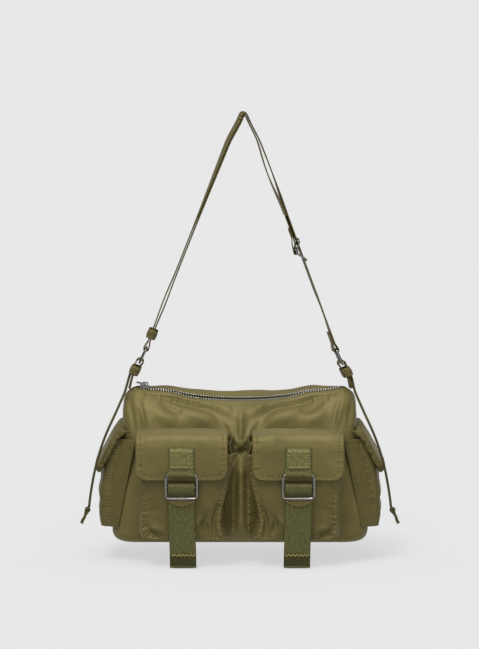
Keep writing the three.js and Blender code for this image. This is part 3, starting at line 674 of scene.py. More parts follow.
# Folds of the front's left half, as (x, z) lines with a width and a height; the right half mirrors them.
FRONT_FOLDS = [
    ([(-98, 149), (-77, 143), (-55, 134), (-33, 129), (-9, 119)], 3.8, -2.3),
    ([(-72, 147), (-46, 140), (-22, 134), (-6, 124)], 3.8, 1.5),
    ([(-82, 138), (-70, 131), (-57, 125)], 4.2, -1.9),
    ([(-106, 141), (-98, 128), (-94, 113)], 5, 1.6),
    ([(-86, 128), (-74, 121), (-62, 117)], 6, 1.2),
    ([(-110, 142), (-108, 126), (-105, 110)], 2.6, -1.1),
    ([(-60, 132), (-44, 122), (-22, 114)], 7, 1.3),
    ([(-30, 126), (-18, 116), (-10, 104)], 3.4, -1.2),
    ([(-105, 143), (-101, 127), (-98, 111)], 2.4, -1.0),
    ([(-99, 141), (-94, 127), (-91, 113)], 2.6, -1.1),
    ([(MIDDLE, 132), (MIDDLE, 112), (MIDDLE, 94)], 3.6, 1.9),
    ([GATHER, (-9, 99), (-16, 105)], 2.0, -1.8),
    ([GATHER, (-10, 91), (-19, 92)], 1.7, -2.4),
    ([GATHER, (-8, 95), (-17, 98)], 1.8, 1.3),
    ([GATHER, (-6, 101), (-9, 112)], 2.4, 1.1),
    ([GATHER, (-6, 80), (-9, 66)], 2.4, -1.1),
    ([(MIDDLE, 84), (MIDDLE, 50), (MIDDLE, 8)], 3.2, 1.4),
    ([(-4, 82), (-5, 50), (-5, 8)], 1.8, -0.9),
]


def front_relief(x, z):
    """How far the front stands out from its plain shape, in millimetres."""
    relief = np.zeros(x.shape)
    for line, width, height in FRONT_FOLDS:
        centred = abs(line[0][0] + line[-1][0]) < 3
        height = FOLD_STRENGTH * height
        for side in (-1, 1):
            mirrored = [((px - MIDDLE) * -side + MIDDLE, pz + (0.8 if side > 0 else 0)) for px, pz in line]
            if not centred or side < 0:
                relief = relief + crease(x, z, mirrored, width, height)
    for px, pz in BULGES:
        relief = relief + 3.4 * np.exp(-(((x - px) / 27) ** 2) - ((z - pz) / 9) ** 2)
    relief = relief - 3.6 * np.exp(-(((x - GATHER[0]) / 3.6) ** 2) - ((z - GATHER[1]) / 3) ** 2)
    between = np.exp(-(((x - MIDDLE) / 14) ** 2)) * smoothstep(86 - z, 0, 18) * smoothstep(z, 0, 22)
    relief = relief + 12 * between
    rim_line = [(px, float(zip_height(px)) - 5) for px in np.linspace(-96, 96, 40)]
    relief = relief + pucker(x, z, rim_line, 0.7, 5.5, 1.0)
    for px in CENTRE_SEAMS:
        relief = relief + pucker(x, z, [(px, 55), (px, 8)], 0.4, 4.0, px)
    return relief


BACK_FOLDS = [
    ([(-98, 138), (-70, 118), (-45, 90)], 7, 1.8),
    ([(98, 138), (66, 120), (40, 96)], 7, 1.8),
    ([(-104, 130), (-92, 96), (-88, 60)], 6, -1.6),
    ([(103, 131), (90, 98), (84, 60)], 6, -1.6),
]
END_FOLDS = (-22, -8, 9, 24)  # where folds run down the ends, along y
HEM_TURNS = [(-0.9, 0.5), (-1.7, 0.1), (-1.9, -1.5), (-1.9, -4)]


def body_relief(grid, shown):
    """How far the folds and creases stand out from the body's plain shape."""
    x, y, z = np.moveaxis(grid, 2, 0)
    relief = smoothstep(-y, 8, 16) * shown * front_relief(x, z)
    soft = smoothstep(z, 4, 20) * shown
    relief += soft * (1.2 * lumps(grid, 34, 3) + 0.5 * lumps(grid, 13, 7))
    behind = smoothstep(y, 9, 16) * shown
    for line, width, height in BACK_FOLDS:
        relief += behind * crease(x, z, line, width, height)
    at_end = smoothstep(np.abs(x), 104, 116)
    for place in END_FOLDS:
        spread = 0.35 + 0.65 * smoothstep(150 - z, 0, 70)
        across_end = np.exp(-(((y - place * spread) / 2.6) ** 2))
        relief -= 1.1 * at_end * across_end * smoothstep(z, 95, 138) * shown
    return relief


def build_body():
    """The shell of the main compartment, turned in along the zip."""
    levels = np.linspace(0, 1, 105)
    levels = 0.5 * levels + 0.5 * (1 - np.cos(math.pi * levels)) / 2
    rows = [body_ring(t) for t in levels]
    rows += [body_ring(1, grow) + np.array([0, 0, lift]) for grow, lift in HEM_TURNS]
    grid = np.array(rows)
    shown = np.ones(grid.shape[:2])
    shown[-len(HEM_TURNS) - 1 :] = 0
    grid = raised(grid, body_relief(grid, shown), wrap=True)
    panels = ("front_panel", "back_panel", "left_end_panel", "right_end_panel")
    return cloth("body_cloth", grid, CLOTH, nylon, "bag", "nylon", wrap=True, replaces=panels)


def build_base():
    """The underside, a little domed and closed by shrinking the shell's lowest outline."""
    shares = np.linspace(0.02, 1, 26)
    ring = body_ring(0)
    grid = np.array([ring * np.array([share, share, 0]) for share in shares])
    grid[..., 2] = ring[:, 2] + 0.3 + 0.5 * (1 - shares[:, None]) + 0.2 * lumps(grid, 22, 5)
    cloth("base_cloth", grid, 1.2, nylon_shaded, "bag", "nylon", wrap=True, replaces=("base_panel",))


def build_lining():
    """The lining inside the shell, kept well clear of the folds near the rim, and its floor."""
    walls = []
    for t in np.linspace(0.03, 0.985, 40):
        below_rim = float(smoothstep(1 - t, 0, 0.045))
        walls.append(body_ring(t, -LINING_GAP - 5 * below_rim))
    floor_rows = [walls[0] * np.array([share, share, 1]) for share in np.linspace(0.03, 0.97, 14)]
    grid = np.array(floor_rows + walls)
    grid = raised(grid, 0.4 * lumps(grid, 18, 2), wrap=True)
    cloth("lining_cloth", grid, 0.8, lining_cloth, "bag", "lining", wrap=True, replaces=("lining",))


def build_body_stitches(surface):
    """The line along the rim, front and back, and the two lines up the panel between the pockets."""
    xs = np.linspace(-97, 97, 80)
    rims = ((-12.5, -4.4), (13, 2.5))  # each line's y, and how far above the zip it runs
    lines = [np.stack([xs, np.full(80, y), zip_height(xs) + above], axis=1) for y, above in rims]
    stitches("rim_stitches", lines, surface, "bag")
    lines = [[(x, -58, 8), (x, -58, 55)] for x in CENTRE_SEAMS]
    stitches("centre_stitches", lines, surface, "bag")


body = build_body()
build_base()
build_lining()
build_body_stitches(surface_of(body))


# ---- Zip: tapes, one tooth after another, slider and puller ----
TOOTH_PITCH = 2.5
TAPE_SECTION = np.array([(2.3, -1.7), (3.6, -1.5), (5.2, -1.5), (6.1, -1.9), (5.9, -3.2), (4.4, -6.5)])


def zip_gape(x, sign):
    """How far the back row stands above the front one where the top sags."""
    return (1.5 if sign > 0 else -0.3) * (1 - smoothstep(np.abs(x), 38, 88))


def build_zip():
    xs = np.linspace(-103.5, 103.5, 140)
    for name, sign in (("front", -1), ("back", 1)):
        heights = zip_height(xs) + zip_gape(xs, sign)
        rows = [np.stack([xs, np.full(140, sign * y), heights + drop], axis=1) for y, drop in TAPE_SECTION]
        grid = np.array(rows if sign > 0 else rows[::-1])
        cloth(f"{name}_tape", grid, 0.5, tape_cloth, "bag", "zip_tape", replaces=(f"zip_tape_{name}",))
        teeth = []
        for px in np.arange(-99, 99.5, TOOTH_PITCH):
            pz = float(zip_height(px) + zip_gape(px, sign)) - 1.1
            ends = np.array([(px, sign * far, pz) for far in (2.1, 2.6, 3.5, 4.3, 4.6)])
            teeth.append(tube_mesh(ends, np.array([0.35, 0.62, 0.72, 0.66, 0.35]), 8))
        joined(f"{name}_teeth", teeth, teeth_metal, "bag", "nickel", replaces=(f"zip_teeth_{name}",))


build_zip()


def dress_cad(node, material, bevel):
    """Gives a CAD node its finish and rounds its edges."""
    part = frame["nodes"][node]
    part.data.materials.clear()
    part.data.materials.append(material)
    modifier = part.modifiers.new("rounded_edges", "BEVEL")
    modifier.width = bevel * MM
    modifier.segments = 3
    modifier.limit_method = "ANGLE"
    modifier.harden_normals = True


dress_cad("zip_slider", nickel, 0.35)
dress_cad("zip_puller", nickel, 0.3)


# ---- Front pockets ----
POCKET = {"outer": face_high[0], "low": face_low[2] + 1.8, "top": 92, "face": face_low[1], "corner": 9}
POCKET_INNER = [(POCKET["low"], 15.5), (12, 17.5), (22, 19.6), (33, 19.6), (50, 15.2), (70, 10.5), (92, 6.5)]
POCKET_SEAM = 2.2  # how far in from the face's edge it is sewn
# Folds of a pocket's face, as (x, z) lines with a width and a height.
POCKET_FOLDS = [
    ([(20, 44), (26, 26), (25, 8)], 2.6, -2.4),
    ([(20, 38), (23, 26), (21, 12)], 2.4, 1.2),
    ([(31, 34), (36, 24), (31, 11)], 3.0, -2.2),
    ([(36, 30), (41, 24), (47, 22)], 3.0, 1.2),
    ([(42, 36), (46, 22), (50, 10)], 5.0, 0.9),
    ([(95, 24), (88, 13), (76, 8)], 3.0, -1.9),
    ([(94, 17), (84, 19), (74, 15)], 3.0, 1.2),
    ([(88, 60), (86, 40), (88, 22)], 5.0, -0.8),
    ([(30, 62), (27, 48), (30, 36)], 5.0, 0.8),
]


def pocket_inner(z):
    """The x of the face's inner edge at height z."""
    heights, xs = zip(*POCKET_INNER)
    return np.interp(z, heights, xs)


def pocket_outer(z):
    """The x of the face's outer edge at height z."""
    below = np.clip(POCKET["low"] + POCKET["corner"] - z, 0, POCKET["corner"])
    return POCKET["outer"] - POCKET["corner"] + np.sqrt(POCKET["corner"] ** 2 - below**2)


def pocket_edge(count, inset=0.0):
    """The face's edge as (x, z): down the outer side, round the corner, along the bottom and up again."""
    low, outer, radius = POCKET["low"] + inset, POCKET["outer"] - inset, POCKET["corner"]
    corner = np.array([outer - radius, low + radius]) + radius * arc(0, -90, 9)
    inner = [(float(pocket_inner(z)) + inset, z) for z in (low + 3, 14, 24, 33, 50, 70, POCKET["top"])]
    edge = [(outer, POCKET["top"]), (outer, 50), *corner, (float(pocket_inner(low)) + 3 + inset, low), *inner]
    return evenly(np.array(edge), count)


def build_pocket_face(name, side):
    heights = np.linspace(POCKET["low"] + 0.2, POCKET["top"], 84)
    shares = np.linspace(0, 1, 88)
    inner, outer = pocket_inner(heights), pocket_outer(heights)
    xs = inner[:, None] + (outer - inner)[:, None] * shares[None, :]
    zs = np.repeat(heights[:, None], len(shares), axis=1)
    puff_x = (1 - np.abs(2 * shares - 1) ** 3.5)[None, :]
    tall = (heights - heights[0]) / (heights[-1] - heights[0])
    puff_z = (1 - np.abs(1 - np.minimum(tall / 0.55, 1)) ** 2.5)[:, None]
    grid = np.stack([xs, np.full(xs.shape, POCKET["face"] + 0.9) - 2.9 * puff_x * puff_z, zs], axis=2)
    relief = pucker(xs, zs, pocket_edge(60, POCKET_SEAM), 0.5, 5.0, 2.0 + side)
    for line, width, height in POCKET_FOLDS:
        relief += crease(xs, zs, line, width, 1.4 * height)
    relief -= 1.0 * np.exp(-(((xs - 83) / 4) ** 2) - ((zs - 37) / 4) ** 2)
    relief += 0.9 * lumps(grid, 16, 11 + side) * puff_x * puff_z
    grid = sided(raised(grid, relief), side)
    node = f"{name}_pocket_face"
    return cloth(f"{name}_pocket_cloth", grid, CLOTH, nylon_shaded, "bag", "nylon", replaces=(node,))


def build_pocket_gusset(name, side):
    """The strip round the face's edge, back to the body, which folds in on itself at the inner side."""
    back_corner = np.array([94, 12.5]) + 9 * arc(0, -90, 7)
    front_edge = pocket_edge(150)
    back_edge = evenly(np.array([(103, 105), (103, 50), *back_corner, (9, 3.5), (9, 33), (6, 105)]), 150)
    depths = np.linspace(0, 1, 30)
    along = np.linspace(0, 1, 150)
    mid = front_edge[None] * (1 - depths[:, None, None]) + back_edge[None] * depths[:, None, None]
    front_y, back_y = POCKET["face"] + 1.3, -HALF_DEPTH + 8
    ys = front_y + (back_y - front_y) * depths[:, None] * np.ones(150)[None]
    gusset = np.stack([mid[..., 0], ys, mid[..., 1]], axis=2)
    inner_side = smoothstep(along, 0.66, 0.74)[None]
    between = np.sin(math.pi * depths)[:, None]
    bow = between * (0.2 * (1 - inner_side) - 3.4 * inner_side)
    bow = bow * (1 - 0.75 * np.exp(-(((along - 0.52) / 0.16) ** 2)))[None]
    soft_folds = 0.8 * lumps(gusset * np.array([1, 0.45, 1]), 11, 4 + side) * between**0.5
    pleats = 0.7 * np.sin(along * 95)[None] * inner_side * np.exp(-(((along - 0.76) / 0.06) ** 2))[None]
    gusset = raised(gusset, bow + soft_folds + pleats)
    gusset[..., 2] = np.maximum(gusset[..., 2], 2.6)
    node = f"{name}_pocket_gusset"
    cloth(f"{name}_gusset_cloth", sided(gusset, side), 1.3, nylon_shaded, "bag", "nylon", replaces=(node,))


def build_pocket(name, side):
    """A pocket's face and gusset, and the stitches round the part of the face below the flap."""
    surface = surface_of(build_pocket_face(name, side))
    build_pocket_gusset(name, side)
    line = [(px, POCKET["face"] - 1, pz) for px, pz in pocket_edge(90, POCKET_SEAM) if pz < 66]
    stitches(f"{name}_pocket_stitches", [sided_line(line, side)], surface, "bag")


# ---- Front flaps ----
FLAP_TOP = [(-33.4, 112), (-50, 113.6), (-66, 113.4)]
FLAP_FRONT = [(-75.2, 109.8), (-78.9, 102), (-79.6, 93), (-79.6, 80)]
FLAP_RADIUS = 11
FLAP_SEAM = {"inset": 4, "up": 13, "radius": 9.6, "end": 80}


def flap_seam():
    """The sewn line near the flap's edge, as (x, distance up from the lower edge)."""
    up, radius, end = FLAP_SEAM["up"], FLAP_SEAM["radius"], FLAP_SEAM["end"]
    left = flap_low[0] + FLAP_SEAM["inset"]
    right = flap_high[0] - FLAP_SEAM["inset"] - 0.8
    line = [(left, end), (left, up)]
    line += [(left + radius + radius * c, up + radius * s) for c, s in arc(180, 270, 7)]
    line += [(right - radius + radius * c, up + radius * s) for c, s in arc(270, 360, 7)]
    return [*line, (right, end)]


def build_flap(name, side):
    body_name = f"{name}_front_flap"
    profile = spline([*FLAP_TOP, *FLAP_FRONT, (flap_low[1] + 0.1, flap_low[2])], 92)[::-1]
    up = np.linspace(0, distances(profile)[-1], len(profile))
    shares = np.linspace(0, 1, 94)
    inset = FLAP_RADIUS - np.sqrt(FLAP_RADIUS**2 - (FLAP_RADIUS - np.minimum(up, FLAP_RADIUS)) ** 2)
    inner, outer = flap_low[0] + 0.8 + inset, flap_high[0] - 1.6 - inset
    xs = inner[:, None] + (outer - inner)[:, None] * shares[None, :]
    heights = np.repeat(up[:, None], len(shares), axis=1)
    grid = np.stack([xs, np.repeat(profile[:, :1], 94, 1), np.repeat(profile[:, 1:], 94, 1)], axis=2)

    across = 1 - np.abs(2 * shares - 1) ** 4
    along = smoothstep(up, 0, 14) * (1 - 0.6 * smoothstep(up, 60, 88))
    relief = 1.5 * across[None] * along[:, None]
    relief -= 1.4 * (1 - across)[None] * smoothstep(up, 30, 55)[:, None]
    patch = smoothstep(26 - np.abs(xs - POCKET_X), 0, 14) * smoothstep(42 - np.abs(heights - 20), 0, 22)
    relief = relief * (1 - 0.85 * patch)
    seam = flap_seam()
    relief += pucker(xs, heights, seam, 0.4, 4.0, 4.0 + side)
    for place, reach in ((70, 34), (31, 30), (88, 26)):
        relief += crease(xs, heights, [(place, 58), (place + 1, 44), (place, reach - 8)], 5.0, 0.7)
    relief += 0.7 * lumps(grid, 15, 21 + side)
    grid = sided(raised(grid, relief), side)
    flap = cloth(f"{name}_flap_cloth", grid, 2.0, nylon, body_name, "nylon", replaces=(body_name,))

    seam = np.array(seam)
    spots = []
    for a, b in zip(seam[:-1], seam[1:]):
        spots += [a + (b - a) * share for share in np.linspace(0, 1, 12, endpoint=False)]
    spots.append(seam[-1])
    line = [(px, np.interp(v, up, profile[:, 0]), np.interp(v, up, profile[:, 1])) for px, v in spots]
    stitches(f"{name}_flap_stitches", [sided_line(line, side)], surface_of(flap), body_name)


# ---- Webbing, buckles and tails on the flaps ----
BUCKLE_Y = (buckle_low[1] + buckle_high[1]) / 2
BUCKLE_TOP = joints["right_buckle_swing"]["pos_m"][2] / MM - BAG[2]
BUCKLE_LOW = buckle_low[2] + 1.1
BUCKLE_MIDDLE = (BUCKLE_TOP + BUCKLE_LOW) / 2
HOOK_RADIUS = 2.45
TAIL_HINGE = joints["right_tail_swing"]["pos_m"][2] / MM - BAG[2]


def hook(height, start, end, count):
    """Points of a web's middle line round a bar at the buckle's depth."""
    return [(BUCKLE_Y + HOOK_RADIUS * c, height + HOOK_RADIUS * s) for c, s in arc(start, end, count)]


ZIGZAG = {"teeth": 6, "height": 2.4}


def zigzag(x, z, width, y):
    """A row of zigzag stitching about z: one short line for each leg."""
    xs = np.linspace(x - width / 2, x + width / 2, 2 * ZIGZAG["teeth"] + 1)
    corners = [(px, y, z + ZIGZAG["height"] / 2 * (-1) ** i) for i, px in enumerate(xs)]
    return list(zip(corners[:-1], corners[1:]))


def zigzag_stitches(name, legs, surface, body_name):
    """Bold zigzag stitches, one for each leg."""
    parts = []
    for start, end in legs:
        start, end = np.array(start), np.array(end)
        place, normal = (np.array(found) for found in surface.find_nearest(Vector((start + end) / 2))[:2])
        out = normal * math.copysign(1, -normal[1])
        length = np.linalg.norm(end - start)
        parts.append(stitch_mesh(place + 0.25 * out, unit(end - start), out, 1.02 * length, 0.34))
    joined(name, parts, gold_thread, body_name, "webbing")


def flap_web_path():
    """The webbing on the flap, down its front and round the buckle's top bar, as (y, z)."""
    front = flap_low[1] - 0.35 - WEB_THICKNESS / 2
    path = [(front, web_high[2]), (front - 0.1, web_high[2] - 9), (front, BUCKLE_TOP + 7)]
    return spline([*path, *hook(BUCKLE_TOP, 60, 325, 14)], 60)


def tail_path():
    """The tail, round the buckle's middle bar and down to its hem, as (y, z)."""
    high = hook(BUCKLE_MIDDLE, -20, 185, 12)
    depth = (tail_low[1] + tail_high[1]) / 2
    low = [(-86.1, 57.6), (-83.7, 54.4), (-82.1, 51.4), (-81.6, 47), (-81.5, TAIL_HINGE)]
    low += [(-80.9, 28), (depth + 0.2, 8), (-79.9, -8), (-79.6, tail_low[2] + 0.8)]
    return spline([*high, *low], 130)


def lean(z, side):
    """How far to the side the tail hangs at height z."""
    return -side * 1.6 * smoothstep(TAIL_HINGE + 6 - np.asarray(z), 0, 70)


def leaning(path, side):
    """A (y, z) path as points at the pocket's middle, leaning where the tail hangs free."""
    return np.array([(side * POCKET_X + float(lean(z, side)), y, z) for y, z in path])[::-1]


def build_patch(name, side):
    """The webbing sewn on the flap, with a raised pad, zigzags at its ends and stitches down its sides."""
    x, body_name = side * POCKET_X, f"{name}_front_flap"
    path = leaning(flap_web_path(), side)
    node = f"{name}_flap_webbing"
    web(f"{name}_patch_web", path, WEB, WEB_THICKNESS, webbing, body_name, "webbing", replaces=(node,))
    pad_low = BUCKLE_TOP + 4.6
    across, up = np.linspace(-1, 1, 40), np.linspace(0, 1, 30)
    puff = (1 - across[None] ** 6) ** 0.5 * (1 - np.abs(2 * up[:, None] - 1) ** 6) ** 0.5
    pad = np.empty((30, 40, 3))
    pad[..., 0] = x + across[None] * (WEB / 2 - 0.2)
    pad[..., 1] = flap_low[1] - 0.9 - 2.1 * puff
    pad[..., 2] = pad_low + (web_high[2] - pad_low) * up[:, None]
    pad = raised(pad, 0.35 * lumps(pad, 3.2, 8 + side))
    # The pad is made in the lighter copy of the webbing, which paints light on it.
    surface = surface_of(cloth(f"{name}_patch_pad", pad, 0.8, lit_webbing, body_name, "webbing"))
    front = flap_low[1] - 6
    top, low, half = web_high[2] - 2.4, pad_low + 2.2, WEB / 2 - 1.8
    legs = zigzag(x, top, WEB - 3, front) + zigzag(x, low, WEB - 2, front)
    zigzag_stitches(f"{name}_patch_zigzag", legs, surface, body_name)
    lines = [[(x + sign * half, front, low + 1), (x + sign * half, front, top - 1)] for sign in (-1, 1)]
    stitches(f"{name}_patch_stitches", lines, surface, body_name, "webbing", pitch=2.6, length=1.6)


def build_buckle(name, side):
    """A wire frame with a bar across its middle."""
    x = side * POCKET_X
    width = buckle_high[0] - buckle_low[0]
    height = BUCKLE_TOP - BUCKLE_LOW + 2.2
    loop = rounded_loop(width - 2.3, height - 2.3, 3.4)
    frame_path = np.array([(x + a, BUCKLE_Y, BUCKLE_MIDDLE + b) for a, b in loop])
    half = width / 2 - 1.1
    bar = np.array([(x + a, BUCKLE_Y, BUCKLE_MIDDLE) for a in np.linspace(-half, half, 6)])
    parts = [tube_mesh(frame_path, 1.3, 14, closed=True), tube_mesh(bar, 1.05, 12)]
    node = f"{name}_buckle"
    joined(f"{name}_buckle_frame", parts, nickel, node, "nickel", replaces=(node,))


def build_tail(name, side):
    """The webbing tail, which hangs from the buckle's middle bar, and its sewn hem."""
    x, tail_body = side * POCKET_X, f"{name}_tail"
    nodes = (f"{name}_tail_wrap", f"{name}_webbing_tail")
    path = leaning(tail_path(), side)
    tail = web(f"{name}_tail_web", path, WEB, WEB_THICKNESS, webbing, None, "webbing", replaces=nodes)
    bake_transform(tail)

    hem_z = np.linspace(tail_low[2] + 0.2, tail_low[2] + 13.2, 14)
    hem_y = np.interp(hem_z, *np.array(sorted((z, y) for y, z in tail_path()[-60:])).T) - 1.15
    hem_x = x + lean(tail_low[2], side)
    hem_path = np.stack([x + lean(hem_z, side), hem_y, hem_z], axis=1)
    # The hem is made in the darker copy of the webbing: painted shade.
    hem = web(f"{name}_tail_hem", hem_path, WEB + 0.3, 1.0, shaded_webbing, tail_body, "webbing")
    # A thin tube along the hem's lower edge, in the lighter copy of the webbing: a painted highlight line.
    edge = np.array([(hem_x + a, hem_y[0] - 0.7, hem_z[0] + 1.0) for a in np.linspace(-WEB / 2, WEB / 2, 4)])
    tube(f"{name}_hem_highlight_edge", edge, 0.5, lit_webbing, tail_body, "webbing", 8)
    legs = zigzag(hem_x, hem_z[-1] - 0.6, WEB - 1.5, float(hem_y[-1]) - 2)
    zigzag_stitches(f"{name}_hem_zigzag", legs, surface_of(hem), tail_body)


def build_tab(name, side):
    """The lens-shaped tab sewn over the tail below the buckle."""
    x, body_name = side * POCKET_X, f"{name}_buckle"
    shares = np.linspace(-1, 1, 34)
    swell = 1 - shares**2
    rows = []
    for share in np.linspace(0, 1, 14):
        zs = 47.2 - 5.2 * swell * (1 - share) + 2.2 * swell * share + 0.6 * (share - 0.5)
        bulge = 0.7 * np.sin(math.pi * share) * np.sqrt(np.maximum(swell, 0))
        rows.append(np.stack([x + 13.4 * shares, -83.4 - bulge, zs], axis=1))
    node = f"{name}_tail_tab"
    tab = cloth(f"{name}_tab_cloth", np.array(rows), 1.1, nylon_shaded, body_name, "nylon", replaces=(node,))
    spots = np.linspace(-1, 1, 12)
    bows = ((47, -3.9), (47.6, 1.2))  # the height of each line's ends, and how far its middle bows
    lines = [[(x + 11.5 * s, -85, z + bow * (1 - s * s)) for s in spots] for z, bow in bows]
    stitches(f"{name}_tab_stitches", lines, surface_of(tab), body_name, pitch=2.6, length=1.8)


LATHE_SIDES = 36


def lathe(node, profile, centre, axis, turn, body_name):
    """A round piece from (radius, height) points about an axis through centre, turned by turn about Y."""
    count = LATHE_SIDES
    ring = arc(0, 360 * (1 - 1 / count), count)
    points, faces = [], []
    cos, sin = math.cos(turn), math.sin(turn)
    for radius, height in profile:
        for c, s in ring:
            x, y, z = (radius * c, height, radius * s) if axis == "Y" else (radius * c, radius * s, height)
            points.append((x * cos + z * sin, y, -x * sin + z * cos))
    for i in range(0, (len(profile) - 1) * count, count):
        for j in range(count):
            after = (j + 1) % count
            faces.append([i + j, i + after, i + count + after, i + count + j])
    faces += [list(range(count))[::-1], list(range(len(points) - count, len(points)))]
    points = np.array(points)
    options = {"uv": points[:, [0, 2]], "replaces": (node,)}
    make(f"{node}_disc", points + centre, faces, nickel, body_name, "nickel", **options)


# A snap's halves as (radius, height): a rimmed disc with a boss, and one with a hollow for it.
RIM = [(0.9, 0.1), (1.0, 1.0), (0.97, 1.2), (0.9, 1.3)]
STUD = [*RIM, (0.45, 1.3), (0.4, 1.1), (0.35, 1.1), (0.3, 1.32), (0.05, 1.36)]
SOCKET = [(0.9, 0.1), (1.0, 0.95), (0.97, 1.15), (0.9, 1.25), (0.55, 1.25), (0.5, 0.9), (0.05, 0.88)]


def build_snap(name, side):
    """The snap between the flap and the pocket's face."""
    halves = (("stud", STUD, 1, f"{name}_front_flap"), ("socket", SOCKET, -1, "bag"))
    for half, profile, facing, body_name in halves:
        node = f"{name}_snap_{half}"
        low, high = bag_box(node)
        radius = (high[0] - low[0]) / 2
        depth = (high[1] - low[1]) / STUD[-1][1]
        start = low[1] if facing > 0 else high[1]
        shape = [(r * radius, facing * h * depth) for r, h in profile]
        centre = np.array([side * POCKET_X, start, (low[2] + high[2]) / 2])
        lathe(node, shape, centre, "Y", 0, body_name)


for name, side in SIDES.items():
    for build in (build_pocket, build_flap, build_patch, build_buckle, build_tail, build_tab, build_snap):
        build(name, side)


# ---- Side pockets ----
SIDE_TOP = [(124, 102), (130.6, 90), (136.2, 74), (137.6, 60)]
SIDE_LOW = [(140.5, 47), (139.2, 38), (141, 28), (138.8, 14.8)]
SIDE_CORNER = 6.5
SIDE_HALF_DEPTH = 38
INNER_SEAM = [(107.5, 101), (114, 70), (124.5, 20)]
OUTER_SEAM = [(118.5, 101), (127, 74), (131, 54), (132.5, 38), (131, 20)]
SIDE_FLAP = [(116.4, 112.0), (121.2, 111.2), (128.8, 100.4), (135.8, 87.4), (141.4, 77.4), (144.6, 71)]
SIDE_FLAP_CORNER = 7
SIDE_FLAP_SKIRT = 5.2
SIDE_FLAP_HALF_DEPTH = 39.7
SIDE_SNAP = {"place": (137.1, 0, 76), "radius": 6, "flatness": 0.85, "lean": math.radians(90 - 21)}


def side_section(px, pz):
    """The side pocket's outline at height pz, from the body round its outer face at px and back."""
    share = np.clip((102 - pz) / 88, 0, 1)
    inner_x, inner_y = 104.5 + 17.5 * share, -45.6 + 2.8 * share**2
    half, radius = SIDE_HALF_DEPTH - 0.6, SIDE_CORNER
    middle_x = inner_x + 0.5 * (px - radius - inner_x)
    front = [(inner_x, inner_y), (middle_x, 0.5 * (inner_y - half) - 0.4), (px - radius, -half)]
    corner = [(px - radius + radius * c, -half + radius + radius * s) for c, s in arc(-80, -10, 5)]
    half_section = [*front, *corner, (px, -half + radius + 4), (px + 0.9, -12)]
    back = [(a, -b) for a, b in half_section[::-1]]
    section = spline([*half_section, (px + 1.2, 0), *back], 150)
    return np.column_stack([section, np.full(150, pz)])


def build_side_pocket(name, side):
    grid = np.array([side_section(px, pz) for px, pz in spline([*SIDE_TOP, *SIDE_LOW], 60)[::-1]])
    xs, ys, zs = np.moveaxis(grid, 2, 0)
    facing_side = 1 - smoothstep(np.abs(ys), 30, 36)
    facing_front = smoothstep(-ys, 30, 36)
    relief = (0.3 + 0.5 * facing_side) * lumps(grid * np.array([1, 1, 0.6]), 17, 31 + side)
    for line in (INNER_SEAM, OUTER_SEAM):
        relief += facing_front * pucker(xs, zs, line, 0.4, 4.0, side)
    outermost = smoothstep(xs, 124, 132)
    relief += crease(ys, zs, [(-30, 95), (-20, 72), (-14, 50)], 6, 1.4) * outermost
    relief += crease(ys, zs, [(28, 95), (20, 70), (16, 48)], 6, 1.3) * outermost
    relief -= crease(ys, zs, [(-32, 28), (0, 22), (32, 28)], 5, 1.4) * outermost
    grid = sided(raised(grid, relief), side)
    nodes = (f"{name}_side_face", f"{name}_side_gusset")
    shell = cloth(f"{name}_side_pocket_cloth", grid, CLOTH, nylon_shaded, "bag", "nylon", replaces=nodes)

    seams = [[(109, 95), *INNER_SEAM[1:]], [(120.5, 95), *OUTER_SEAM[1:]]]
    depth = SIDE_HALF_DEPTH + 1
    lines = [[(px, y, pz) for px, pz in line] for y in (-depth, depth) for line in seams]
    lines = [sided_line(spline(line, 40), side) for line in lines]
    stitches(f"{name}_side_stitches", lines, surface_of(shell), "bag")

    rows = []
    ys = np.linspace(-35.6, 35.6, 50)
    for px in np.linspace(110, 138.2, 20):
        rows.append(np.stack([np.full(50, px), ys, 14.6 + 0.02 * (140 - px) + 0.3 * np.sin(ys / 6)], axis=1))
    cloth(f"{name}_side_floor", sided(np.array(rows), side), 1.2, nylon_shaded, "bag", "nylon")


